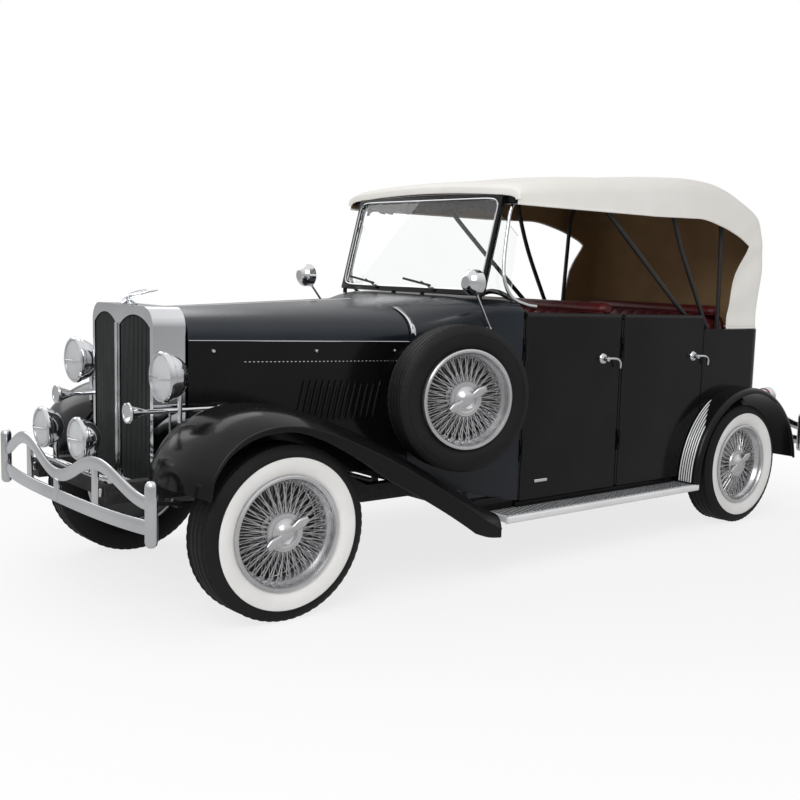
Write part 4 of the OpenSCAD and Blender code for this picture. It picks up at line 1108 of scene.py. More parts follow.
@dataclass
class Bumpers:
    """Front and rear bumpers: a lower blade and a waved upper one, both bowed, between round end posts."""

    half: float = 0.752
    bow: float = 0.050
    lower_z: float = 0.448
    upper_z: float = 0.588
    wave: float = 0.050

    def blade(self, middle: float, turn: int, z: float, wave: float, height: float) -> Patch:
        """A flat fluted bar: station grows with the cube of the distance from the middle, height waves twice.

        Args:
            middle: Station of the bar's middle.
            turn: 1 where the ends lie behind the middle, or -1.
            z: Mean height.
            wave: Height of the wave.
            height: Height of the bar.

        Returns:
            The bar.
        """
        x = np.linspace(self.half, -self.half, 161)
        path = stations(np.stack([x, middle + turn * self.bow * np.abs(x / self.half) ** 3,
                                  z - wave * np.cos(2 * np.pi * x / self.half)], axis=-1))
        angle = np.linspace(0, 2 * np.pi, 32, endpoint=False)
        ring = oval(0.0075, height / 2, 32, 3.0)
        ring[:, 0] *= 1 + 0.22 * np.cos(3 * angle) ** 2
        return sweep(path, ring)

    def one(self, name: str, middle: float, turn: int, rail_end: float) -> None:
        """Makes one bumper with its posts, irons and clamps.

        Args:
            name: CAD node that it stands for.
            middle: Station of the bar's middle.
            turn: 1 at the front, -1 at the rear.
            rail_end: Station of the chassis rails' end.
        """
        end = middle + turn * self.bow
        y = FRONT_AXLE_Y
        inner = middle + turn * 0.014
        iron = sorted([rail_end, inner])
        post = lathe([[0.001, 0.376], [0.012, 0.378], [0.02, 0.386], [0.023, 0.398], [0.023, 0.603],
                      [0.02, 0.616], [0.012, 0.624], [0.001, 0.626]], 32)
        post = post.moved(np.eye(3), at(self.half, end, 0.0))
        pieces = [post,
                  block((0.327, y + iron[0], 0.500), (0.363, y + iron[1], 0.536), 0.006),
                  block((0.327, y + inner - 0.010, 0.430), (0.363, y + inner + 0.010, 0.620), 0.006)]
        clamp = block((-0.020, y + middle - 0.012, 0.428), (0.020, y + middle + 0.012, 0.522), 0.008)
        bars = [self.blade(middle, turn, self.lower_z, 0.0, 0.058),
                self.blade(middle, turn, self.upper_z, self.wave, 0.052)]
        put(f"{name}_bars", [*both(pieces), clamp, *bars], [CHROME], crease=40.0, stands_for=[name])

    def build(self) -> None:
        """Makes both bumpers."""
        self.one("front_bumper", -0.603, 1, -0.565)
        self.one("rear_bumper", 3.917, -1, 3.720)


@dataclass
class Front:
    """Radiator shell, its screen and ornament, lamp rims, and horn mouths."""

    prow: float = -0.350
    rake: float = 0.016
    half: float = 0.296
    head: tuple = (0.434, -0.357, 0.968, 0.096)
    fog: tuple = (0.186, -0.590, 0.709, 0.080)

    def screen(self) -> list[Patch]:
        """Fine upright wires behind the grille openings, ending under the round heads.

        Returns:
            Wires of both sides.
        """
        x = np.linspace(0.024, 0.262, 23)
        top = 1.003 + np.sqrt(0.193**2 - (x - 0.143) ** 2)
        y = self.prow + 0.005 + x * self.rake / self.half
        low = stations(np.stack([x, y, 0.512 + 0.03 * np.abs((x - 0.143) / 0.124) ** 6], axis=-1))
        high = stations(np.stack([x, y, top], axis=-1))
        return both([Wheel.bars(low, high, 0.0014, 8)])

    def ornament(self) -> list[Patch]:
        """A plain pointed crest: a blade that rises, sweeps back and thins to a tip, on a round cap.

        Returns:
            The cap and the crest.
        """
        cap = lathe([[0.001, 0.0], [0.034, 0.0], [0.034, 0.006], [0.024, 0.012], [0.014, 0.02],
                     [0.001, 0.023]], 40)
        path = curve([at(0, -0.335, 1.252), at(0, -0.315, 1.268), at(0, -0.27, 1.284),
                      at(0, -0.22, 1.300)], 30)
        thin = np.linspace(1.0, 0.15, 30) ** 0.7
        blade = sweep(path, oval(0.006, 0.016, 16), LEFT, scale=thin)
        wings = []
        for side in (1, -1):
            line = curve([at(0, -0.31, 1.262), at(side * 0.02, -0.295, 1.272), at(side * 0.045, -0.25, 1.288),
                          at(side * 0.055, -0.20, 1.300)], 24)
            wings.append(sweep(line, oval(0.004, 0.010, 12), UP, scale=np.linspace(1.0, 0.2, 24)))
        return [cap.moved(np.eye(3), at(0, -0.30, 1.234)), blade, *wings]

    def lamp(self, spec: tuple) -> list[Patch]:
        """Rim and bowed crossbar of a lamp.

        Args:
            spec: Distance from the middle, station, height and radius.

        Returns:
            The chrome of the left lamp.
        """
        x, s, z, r = spec
        rim = lathe([[r - 0.009, 0.002], [r - 0.006, 0.012], [r, 0.014], [r + 0.006, 0.008],
                     [r + 0.007, -0.004], [r + 0.003, -0.012], [r - 0.008, -0.010]], 72, closed=True)
        t = np.linspace(-1, 1, 21)
        bar = np.stack([t * (r - 0.01), np.zeros(21), 0.010 + (0.31 * r) * (1 - t**2)], axis=-1)
        bar = tube(bar, 0.0032, 8, (0, 1, 0))
        turn = basis((0, -1, 0))
        return [p.moved(turn, at(x, s, z)) for p in (rim, bar)]

    def build(self) -> None:
        """Makes the shell, screen, ornament and lamp trim."""
        rounded_node("radiator_shell", CHROME, 0.009)
        put("radiator_screen", self.screen(), [SCREEN_WIRE])
        put("radiator_crest", self.ornament(), [CHROME])
        t = np.linspace(0, 1, 12)
        bar = stations(np.stack([np.zeros(12), np.full(12, self.prow - 0.004), 0.490 + 0.67 * t], axis=-1))
        put("prow_bar", [sweep(bar, oval(0.008, 0.009, 16, 2.4), BACK)], [CHROME])
        put("lamp_rims", both([*self.lamp(self.head), *self.lamp(self.fog)]), [CHROME])
        lip = [[0.030, -0.006], [0.037, -0.008], [0.042, -0.002], [0.040, 0.006], [0.034, 0.004]]
        mouth = lathe(lip, 48, closed=True)
        put("horn_mouths", both([mouth.moved(basis((0, -1, 0)), at(0.362, -0.467, 0.824))]), [CHROME])


@dataclass
class Doors:
    """Door panels with handles, inner cards and step plates."""

    body_half: float = 0.715
    wall: float = 0.040
    top_z: float = 1.2365
    handle_z: float = 1.02
    # Name, stations of the panel's edges, station of the handle, height of the card's foot
    rows: tuple = (("front", 1.345, 2.051, 1.915, 0.47), ("rear", 2.075, 2.785, 2.693, 0.87))

    def handle(self, station: float, z: float) -> list[Patch]:
        """Round rose, stub and a lever that runs rearward and droops at its end.

        Args:
            station: Station of the rose.
            z: Height of the rose.

        Returns:
            The left handle.
        """
        rose = lathe([[0.001, -0.002], [0.027, -0.002], [0.028, 0.004], [0.024, 0.010], [0.013, 0.014],
                      [0.011, 0.03], [0.014, 0.034], [0.012, 0.042], [0.001, 0.044]], 40)
        x = self.body_half + 0.036
        path = curve([at(x, station - 0.012, z), at(x + 0.002, station + 0.03, z + 0.003),
                      at(x, station + 0.075, z - 0.002), at(x - 0.006, station + 0.105, z - 0.022),
                      at(x - 0.010, station + 0.112, z - 0.05)], 36)
        thick = 0.75 + 0.35 * np.sin(np.linspace(0, np.pi, 36))
        lever = sweep(path, oval(0.007, 0.010, 16), LEFT, scale=thick)
        return [rose.moved(basis(LEFT), at(self.body_half, station, z)), lever]

    def card(self, start: float, end: float, low: float) -> list[Patch]:
        """Padded inner card with upright flutes; the top roll above it is made with the door.

        Args:
            start: Front edge.
            end: Rear edge.
            low: Height of the foot.

        Returns:
            The left card.
        """
        s, t = np.meshgrid(np.linspace(0, 1, 90), np.linspace(0, 1, 24), indexing="ij")
        flute = np.abs(np.sin(np.pi * 9 * s)) ** 0.5 * np.clip(8 * t * (1 - t), 0, 1)
        y, z = start + 0.05 + (end - start - 0.1) * s, low + (1.20 - low) * t
        face = self.body_half - self.wall - 0.001
        front = stations(np.stack([face - 0.004 - 0.012 * flute, y, z], axis=-1).reshape(-1, 3))
        rear = stations(np.stack([np.full(s.shape, face), y, z], axis=-1).reshape(-1, 3))
        return [shell(front.reshape(*s.shape, 3), rear.reshape(*s.shape, 3))]

    def build(self) -> None:
        """Makes each door's panel, handle and card on the door's own body."""
        for side, word in SIDES:
            for name, start, end, handle, low in self.rows:
                body = f"{name}_{word}_door"
                rounded_node(f"door_{name}_{word}", PAINT, 0.006, body)
                metal = self.handle(handle, self.handle_z)
                along = np.linspace(start + 0.012, end - 0.012, 12)
                line = np.stack([np.full(12, self.body_half - 0.02), along, np.full(12, self.top_z)], axis=-1)
                roll = tube(stations(line), 0.019, 16)
                if name == "front":
                    low_corner = at(self.body_half - 0.002, 1.44, 0.408)
                    metal.append(block(low_corner, at(self.body_half + 0.008, 1.53, 0.424), 0.004))
                cards = [*self.card(start, end, low), roll.painted(1)]
                if side < 0:
                    metal, cards = [p.mirrored() for p in metal], [p.mirrored() for p in cards]
                put(f"handle_{name}_{word}", metal, [CHROME], body)
                put(f"door_card_{name}_{word}", cards, [LEATHER, DOOR_TOP], body)


@dataclass
class Screen:
    """Windshield trim: chrome bead, wing rails, wipers, valance and header."""

    half: float = 0.585
    station: float = 1.172
    foot: float = 1.330
    height: float = 0.506
    lean: float = math.radians(14)
    header_half: float = 0.632
    header_station: float = 1.312
    header_z: float = 1.846

    def place(self, x: Array, up: Array, out: Array) -> Array:
        """Points of the leaned screen: across, up the slope, and out of it to the front."""
        c, s = math.cos(self.lean), math.sin(self.lean)
        station, z = self.station + up * s - out * c, self.foot + up * c + out * s
        return stations(np.stack(np.broadcast_arrays(x, station, z), axis=-1))

    def bead(self) -> list[Patch]:
        """Bright bead round the glass: a rectangle with round corners, on both faces of the frame.

        Returns:
            The beads.
        """
        turn = np.linspace(0, 2 * np.pi, 96, endpoint=False)
        c, s = np.cos(turn), np.sin(turn)
        x = (self.half - 0.02) * np.sign(c) * np.abs(c) ** 0.12
        up = 0.249 + (self.height / 2 - 0.022) * np.sign(s) * np.abs(s) ** 0.12
        ahead = unit(np.array([0, -1, 0.25]))
        return [sweep(self.place(x, up, np.full(96, out)), circle(0.0042, 8), ahead, closed=True)
                for out in (0.0125, -0.0125)]

    def wing_rails(self) -> list[Patch]:
        """Curved chrome rails beside the wind wings, from the canopy's edge down to the door's top."""
        path = curve(stations([[0.612, 1.410, 1.806], [0.606, 1.350, 1.792], [0.604, 1.318, 1.745],
                               [0.606, 1.300, 1.66], [0.622, 1.268, 1.50], [0.640, 1.262, 1.40],
                               [0.655, 1.300, 1.325], [0.672, 1.380, 1.292], [0.682, 1.440, 1.284]]), 80)
        return both([tube(path, 0.009, 14, LEFT)])

    def wipers(self) -> list[Patch]:
        """Two wiper arms with blades, on round pivots on the lower frame bar."""
        made = []
        for x in (-0.26, 0.22):
            arm = self.place(np.linspace(x, x - 0.10, 8), np.linspace(0.012, 0.05, 8), np.full(8, 0.022))
            blade = self.place(np.linspace(x - 0.02, x - 0.26, 8), np.linspace(0.030, 0.062, 8),
                               np.full(8, 0.019))
            pivot = lathe([[0.001, 0.0], [0.010, 0.0], [0.010, 0.014], [0.006, 0.018], [0.001, 0.018]], 20)
            made += [tube(arm, 0.003, 8), sweep(blade, oval(0.002, 0.006, 8), UP),
                     pivot.moved(basis((0, -1, 0.25)), self.place(x, 0.012, 0.010))]
        return made

    def valance(self) -> Patch:
        """Ruffled strip under the header: a hanging ribbon whose folds deepen towards its hem.

        Returns:
            A thin closed sheet.
        """
        u, v = np.meshgrid(np.linspace(-1, 1, 160), np.linspace(0, 1, 10), indexing="ij")
        fold = 0.006 * v * np.sin(u * 46 + 0.6 * np.sin(u * 9))
        hem = 0.045 + 0.010 * np.sin(u * 17) + 0.006 * np.sin(u * 31)
        x, up = u * (self.half - 0.03), self.height - 0.028 - v * hem
        return shell(*(self.place(x, up, -0.026 + fold - t) for t in (0.0, 0.002)))

    def header(self) -> list[Patch]:
        """Header bar over the screen, crowned like the canopy, with blocks at its corners."""
        x = np.linspace(-self.header_half, self.header_half, 61)
        line = np.stack([x, np.full(61, self.header_station), self.header_z - x**2 / 22], axis=-1)
        path = stations(line)
        bar = sweep(path, oval(0.024, 0.016, 20, 4.0))
        corner = block(at(0.575, 1.298, 1.772), at(0.66, 1.345, 1.838), 0.008)
        return [bar, *both([corner])]

    def build(self) -> None:
        """Makes the trim of the windshield."""
        put("screen_bead", self.bead(), [CHROME])
        put("wing_rails", self.wing_rails(), [CHROME])
        put("wipers", self.wipers(), [DARK_STEEL])
        put("header_bar", self.header(), [PAINT])
        cloth = put("screen_valance", [self.valance()], [DARK_CLOTH])


@dataclass
class Canopy:
    """Canvas top in one sheet, with its bows and bound edges."""

    start: float = 1.285
    half: float = 0.690
    crown: float = 8.0
    corner: float = 0.075
    cloth: float = 0.004
    count: int = 150
    # Station behind the start and height, of the ridge line and of the edge that bounds the side opening
    ridge: tuple = ((0.0, 1.862), (0.06, 1.896), (0.33, 1.940), (0.565, 1.971), (0.90, 2.006), (1.05, 2.020),
                    (1.315, 2.044), (1.54, 2.043), (1.70, 2.015), (1.87, 1.959), (2.05, 1.875),
                    (2.122, 1.720), (2.136, 1.560), (2.118, 1.370), (2.098, 1.182))
    opening: tuple = ((0.0, 1.771), (0.06, 1.771), (0.33, 1.776), (0.565, 1.781), (0.90, 1.788),
                      (1.05, 1.791), (1.315, 1.802), (1.48, 1.805), (1.66, 1.775), (1.80, 1.738),
                      (1.925, 1.688), (1.935, 1.655), (1.84, 1.530), (1.782, 1.400), (1.752, 1.182))
    bows: tuple = ((1.900, 1.914, 2.860), (2.500, 1.975, 2.930), (3.020, 1.936, 3.000))

    def lines(self) -> tuple[Array, Array]:
        """The ridge line and the opening's edge, point by point beside each other, as station and height."""
        return curve(self.ridge, self.count), curve(self.opening, self.count)

    def sheet(self) -> Array:
        """The cloth: from the left edge up the side, round the corner, over the crown and down again.

        Each row joins a point of the ridge line to its fellow on the opening's edge. The corner is a
        quadratic arc, the top falls with the square of the width and sags a little between the bows.

        Returns:
            Rows along the car by columns across.
        """
        ridge, edge = self.lines()
        fading = np.clip(1.6 - np.linspace(0, 1, self.count) * 1.6, 0.0, 1.0)
        drop = (self.half**2 / (2 * self.crown)) * fading
        shoulder = np.stack([np.full(self.count, self.half), ridge[:, 0], ridge[:, 1] - drop], axis=-1)
        hem = np.stack([np.full(self.count, self.half), edge[:, 0], edge[:, 1]], axis=-1)
        hem[:, 2] = np.minimum(hem[:, 2], shoulder[:, 2] - 0.004)
        length = np.linalg.norm(hem - shoulder, axis=1, keepdims=True)
        start = shoulder + (hem - shoulder) * np.minimum(self.corner / np.maximum(length, 1e-6), 0.5)
        x_in = self.half - self.corner
        end = np.stack([np.full(self.count, x_in), ridge[:, 0], ridge[:, 1] - drop * (x_in / self.half) ** 2],
                       axis=-1)
        t = np.linspace(0, 1, 16)[None, :, None]
        side = hem[:, None] + (start - hem)[:, None] * t
        u = np.linspace(0, 1, 12)[None, 1:, None]
        arc = (1 - u) ** 2 * start[:, None] + 2 * u * (1 - u) * shoulder[:, None] + u**2 * end[:, None]
        x = np.linspace(x_in, 0, 24)[1:]
        fall = drop[:, None] * (x[None] / self.half) ** 2
        roof = np.stack(np.broadcast_arrays(x[None], ridge[:, :1], ridge[:, 1:] - fall), axis=-1)
        left = np.concatenate([side, arc, roof], axis=1)
        left = self.slack(left)
        whole = np.concatenate([left, left[:, :-1][:, ::-1] * np.array([-1.0, 1.0, 1.0])], axis=1)
        whole[..., 1] += FRONT_AXLE_Y + self.start
        return whole

    @staticmethod
    def slack(points: Array) -> Array:
        """Sag between the bows and soft folds that fan out in the rear quarters.

        Args:
            points: The taut sheet, its second value the station behind the start.

        Returns:
            The slack sheet.
        """
        x, s, z = points[..., 0], points[..., 1], points[..., 2]
        on_top = np.clip((z - 1.86) / 0.06, 0, 1)
        wave = np.sin(np.pi * np.clip((s - 0.02) / 0.6, 0, 3)) ** 2
        sag = 0.011 * wave * on_top * np.clip(1.2 - x / 0.69, 0, 1)
        rear = np.clip((s - 1.55) / 0.35, 0, 1) * np.clip(1.95 - z, 0, 1) * 1.4
        fan = np.arctan2(z - 1.2, s - 1.35)
        folds = 0.0055 * np.sin(fan * 26 + 3 * np.sin(z * 7)) * rear
        moved = points.copy()
        moved[..., 2] -= sag
        moved[..., 0] += folds * (x > 0.6)
        moved[..., 1] -= np.abs(folds) * (x <= 0.6) * 0.8
        return moved

    def frame_bows(self) -> list[Patch]:
        """Bows: each a bar that rises from its foot, bends round the shoulder and crosses under the cloth.

        Returns:
            The bows.
        """
        made = []
        for station, z, foot in self.bows:
            run = station - foot
            leg = [[0.652, foot, 1.12], [0.645, foot + run * 0.25, 1.30], [0.632, foot + run * 0.68, 1.62],
                   [0.615, station - run * 0.06, z - 0.09], [0.555, station, z - 0.012],
                   [0.42, station, z + 0.014], [0.2, station, z + 0.026], [0.0, station, z + 0.03]]
            right = [[-p[0], p[1], p[2]] for p in leg[-2::-1]]
            made.append(sweep(curve(stations([*leg, *right]), 160), oval(0.011, 0.013, 12, 3.0), BACK))
            made += both([tube(stations([[0.63, foot, 1.12], [0.6745, foot, 1.12]]), 0.016, 16)])
        return made

    def build(self) -> None:
        """Makes the cloth with its lining, the binding along its edges and the bows."""
        points = self.sheet()
        surface = grid(points[:, ::-1])
        cloth = put("canopy_cloth", [surface], [CANVAS, LINING], crease=60.0, stands_for=["canopy"],
                    open_edge=True)
        thick = cloth.modifiers.new("lined", "SOLIDIFY")
        thick.thickness = self.cloth
        thick.offset = -1.0
        thick.material_offset = 1
        binding = both([tube(points[:, 0], 0.0055, 8, LEFT)])
        rear = tube(points[-1], 0.006, 8, UP)
        hem = points[0] - np.array([0.0, 0.002, 0.011])
        front = sweep(hem, oval(0.0035, 0.017, 16, 3.0), UP)
        tape = put("canopy_binding", [*binding, rear, front], [CANVAS])
        put("bow_bars", self.frame_bows(), [DARK_STEEL], stands_for=["canopy_bows"])


@dataclass
class Seats:
    """Front and rear bench seats in dark red leather: a fluted cushion and a fluted back with a top roll."""

    half: float = 0.54
    flutes: int = 11
    voxel: float = 0.014
    swell: float = 0.016

    def pad(self, low: Vec, high: Vec, lean: float, power: float) -> Patch:
        """A cushion as a squarish ball: superellipsoid of the box's size, sheared back as it rises.

        Args:
            low: Lowest corner.
            high: Highest corner.
            lean: Shift to the rear for each metre of height.
            power: Squareness; 2 is an ellipsoid.

        Returns:
            The closed pad.
        """
        low, high = np.asarray(low, float), np.asarray(high, float)
        rise, turn = np.linspace(-np.pi / 2, np.pi / 2, 49), np.linspace(0, 2 * np.pi, 96, endpoint=False)
        v, u = np.meshgrid(rise, turn, indexing="ij")
        e = 2 / power

        def power_of(value: Array) -> Array:
            """Signed power that squares the ball off."""
            return np.sign(value) * np.abs(value) ** e

        out = power_of(np.cos(v))
        ball = np.stack([out * power_of(np.cos(u)), out * power_of(np.sin(u)), power_of(np.sin(v))], axis=-1)
        points = (low + high) / 2 + ball * (high - low) / 2
        points[..., 1] += lean * (points[..., 2] - low[2])
        return grid(points, wrap_cols=True)

    def stuffed(self, piece: bpy.types.Object) -> None:
        """Remeshes a pad evenly, swells it as cloth under pressure and caps how far a point may move.

        Args:
            piece: The pad, changed in place.
        """
        remesh = piece.modifiers.new("even", "REMESH")
        remesh.mode = "VOXEL"
        remesh.voxel_size = self.voxel
        self.applied(piece)
        rest = self.coordinates(piece.data)
        cloth = piece.modifiers.new("filled", "CLOTH")
        cloth.settings.use_pressure = True
        cloth.settings.uniform_pressure_force = 4.0
        cloth.settings.effector_weights.gravity = 0.0
        cloth.settings.tension_stiffness = 30.0
        cloth.settings.compression_stiffness = 30.0
        scene = bpy.context.scene
        for step in range(1, 21):
            scene.frame_set(step)
        self.applied(piece)
        scene.frame_set(1)
        moved = self.coordinates(piece.data) - rest
        length = np.linalg.norm(moved, axis=1, keepdims=True)
        kept = moved * np.minimum(1.0, self.swell / np.maximum(length, 1e-9))
        piece.data.vertices.foreach_set("co", (rest + kept).astype(np.float32).ravel())

    @staticmethod
    def applied(piece: bpy.types.Object) -> None:
        """Turns the piece's modifiers into its mesh."""
        graph = bpy.context.evaluated_depsgraph_get()
        mesh = bpy.data.meshes.new_from_object(piece.evaluated_get(graph))
        materials = list(piece.data.materials)
        piece.modifiers.clear()
        piece.data = mesh
        mesh.materials.clear()
        for material in materials:
            mesh.materials.append(material)

    @staticmethod
    def coordinates(mesh: bpy.types.Mesh) -> Array:
        """Places of a mesh's points."""
        flat = np.zeros(len(mesh.vertices) * 3, np.float32)
        mesh.vertices.foreach_get("co", flat)
        return flat.reshape(-1, 3).astype(float)

    def fluted(self, piece: bpy.types.Object, face: Vec) -> None:
        """Presses sewn channels into the face that looks along a direction: rows across the seat.

        Args:
            piece: The pad.
            face: Direction of the fluted face.
        """
        mesh = piece.data
        points = self.coordinates(mesh)
        normals = np.zeros(len(points) * 3, np.float32)
        mesh.vertex_normals.foreach_get("vector", normals)
        normals = normals.reshape(-1, 3)
        facing = np.clip((normals @ unit(np.asarray(face, float)) - 0.15) / 0.5, 0, 1)
        inside = np.clip((self.half - 0.03 - np.abs(points[:, 0])) / 0.03, 0, 1)
        phase = points[:, 0] / (2 * self.half) * self.flutes
        channel = 1 - np.abs(np.sin(np.pi * phase)) ** 0.45
        depth = 0.014 * channel * facing * inside
        mesh.vertices.foreach_set("co", (points - normals * depth[:, None]).astype(np.float32).ravel())
        mesh.shade_smooth()

    def bench(self, name: str, node: str, front: float, floor: float, top: float) -> None:
        """Makes one bench: base, cushion, back, top roll and piping.

        Args:
            name: Name of the bench.
            node: CAD node that it stands for.
            front: Station of the cushion's front edge.
            floor: Height of the floor.
            top: Height of the back's top.
        """
        h = self.half
        base = block(at(-h + 0.02, front + 0.03, floor + 0.002), at(h - 0.02, front + 0.53, floor + 0.16),
                     0.02)
        shell_back = self.pad(at(-h, front + 0.515, floor + 0.05), at(h, front + 0.575, top - 0.02),
                              0.135, 6.0)
        put(f"{name}_base", [base, shell_back], [LEATHER], stands_for=[node])
        cushion_box = (at(-h, front + 0.01, floor + 0.13), at(h, front + 0.50, floor + 0.30))
        back_box = (at(-h, front + 0.40, floor + 0.24), at(h, front + 0.545, top - 0.03))
        for part, box, lean, face in (("cushion", cushion_box, 0.0, (0, -0.3, 1)),
                                      ("back", back_box, 0.20, (0, -1, 0.15))):
            pad = put(f"{name}_{part}", [self.pad(*box, lean, 5.0)], [LEATHER])
            self.stuffed(pad)
            fine = pad.modifiers.new("smooth", "SUBSURF")
            fine.levels = fine.render_levels = 1
            self.applied(pad)
            self.fluted(pad, face)
        lean_back = front + 0.545 + 0.2 * (top - floor - 0.27) - 0.075
        x = np.linspace(-h + 0.01, h - 0.01, 80)
        fade = np.minimum(1, np.sqrt(np.maximum(1 - ((np.abs(x) - h + 0.05) / 0.045).clip(0, 1) ** 2, 0.02)))
        line = np.stack([x, np.full(80, lean_back), np.full(80, top - 0.034)], axis=-1)
        roll = sweep(stations(line), oval(0.055, 0.036, 24), scale=fade)
        line = np.stack([x, np.full(80, lean_back - 0.045), np.full(80, top - 0.052)], axis=-1)
        seam = tube(stations(line), 0.0045, 8)
        put(f"{name}_top_roll", [roll, seam], [LEATHER])

    def build(self) -> None:
        """Makes both benches."""
        self.bench("front_bench", "front_seat", 1.560, 0.4403, 1.305)
        self.bench("rear_bench", "rear_seat", 2.610, 0.6003, 1.305)


@dataclass
class Fittings:
    """Small pieces: board treads, guard and sill strips, dials, tail lamp rims and mirror glasses."""

    board: tuple = (0.640, 0.836, 1.150, 2.655)
    board_z: float = 0.290
    arch: tuple = (0.5353, 3.154, 0.295)
    guard_x: float = 0.726
    guard_count: int = 6
    guard_pitch: float = 0.016
    guard_sweep: float = 60.0
    guard_loss: float = 22.0

    def treads(self) -> list[Patch]:
        """Short raised bars over the running boards, every other row a little aside, and a rolled edge.

        Returns:
            The treads of both boards.
        """
        x0, x1, y0, y1 = self.board
        rows = np.arange(y0 + 0.035, y1, 0.026)
        cols = np.linspace(x0 + 0.022, x1 - 0.034, 9)
        y, x = np.meshgrid(rows, cols, indexing="ij")
        x = x + 0.004 * (np.arange(len(rows)) % 2)[:, None]
        bar = block((-0.0085, -0.0045, -0.002), (0.0085, 0.0045, 0.003), 0.0022, 2)
        bars = repeated(bar, stations(np.stack([x.ravel(), y.ravel(), np.full(x.size, self.board_z)],
                                               axis=-1)))
        along = np.linspace(y0 + 0.004, y1, 24)
        line = np.stack([np.full(24, x1 - 0.004), along, np.full(24, self.board_z - 0.016)], axis=-1)
        edge = sweep(stations(line), oval(0.012, 0.018, 20, 2.6), UP)
        return both([bars.painted(1), edge.painted(2)])

    def guards(self) -> list[Patch]:
        """Rounded strips up the front of the rear fenders: arcs about the fender's middle, shorter outward.

        Returns:
            The strips of both sides.
        """
        radius, station, height = self.arch
        made = []
        for i in range(self.guard_count):
            rise = self.guard_sweep - self.guard_loss * i / (self.guard_count - 1)
            angle = np.radians(np.linspace(180.3 - rise, 179.3, 36))
            x = np.full(36, self.guard_x + self.guard_pitch * i)
            path = np.stack([x, station + radius * np.cos(angle), height + radius * np.sin(angle)], axis=-1)
            ends = np.minimum(1.0, np.linspace(0.35, 12.0, 36))
            made.append(sweep(stations(path), oval(0.0046, 0.0042, 14), LEFT, scale=ends))
        return both(made)

    def dials(self) -> tuple[list[Patch], list[Patch]]:
        """Dial faces with rings and needles on the dashboard.

        Returns:
            The cream faces, and the chrome rings and needles.
        """
        faces, rings = [], []
        turn = basis((0, 1, 0))
        for x, r in ((-0.09, 0.036), (0.0, 0.036), (0.09, 0.036), (0.33, 0.046)):
            place = at(x, 1.262, 1.120)
            face = lathe([[0.001, 0.0005], [r - 0.004, 0.0005], [r - 0.003, 0.002], [0.001, 0.0022]], 40)
            ring = [[r - 0.004, 0.0], [r - 0.003, 0.005], [r + 0.002, 0.005], [r + 0.003, 0.0]]
            faces.append(face.moved(turn, place))
            rings.append(lathe(ring, 40, closed=True).moved(turn, place))
            needle = np.stack([np.linspace(0, 0.55 * r, 5), np.linspace(0, 0.5 * r, 5), np.full(5, 0.0035)],
                              axis=-1)
            rings.append(tube(needle, 0.0011, 6, (0, 0, 1)).moved(turn, place))
        return faces, rings

    def build(self) -> None:
        """Makes the small pieces."""
        put("board_treads", self.treads(), [TREAD_PLATE, RIB, GUARD])
        put("guard_strips", self.guards(), [GUARD], stands_for=["stone_guards"])
        sill = block(at(0.646, 1.335, self.board_z - 0.001), at(0.700, 2.600, 0.318), 0.006)
        apron = block(at(0.630, 1.070, self.board_z - 0.001), at(0.690, 1.328, 0.352), 0.006)
        put("sill_strips", both([sill, apron]), [PAINT])
        faces, rings = self.dials()
        put("dial_faces", faces, [DIAL])
        put("dial_rings", rings, [CHROME])
        rim = lathe([[0.046, 0.066], [0.054, 0.06], [0.057, 0.066], [0.053, 0.073], [0.047, 0.071]], 48,
                    closed=True)
        bowl = [[0.001, -0.03], [0.03, -0.022], [0.048, 0.0], [0.0545, 0.03], [0.0545, 0.06], [0.05, 0.06],
                [0.001, 0.0]]
        hood = lathe(bowl, 48)
        turn = basis((0, 1, 0))
        put("tail_lamp_rims", both([p.moved(turn, at(0.640, 3.560, 0.740)) for p in (rim, hood)]), [CHROME])
        glass = lathe([[0.001, 0.0325], [0.053, 0.0325], [0.056, 0.0335], [0.056, 0.036], [0.001, 0.036]], 48)
        put("mirror_glasses", both([glass.moved(turn, at(0.700, 1.000, 1.388))]), [CHROME])


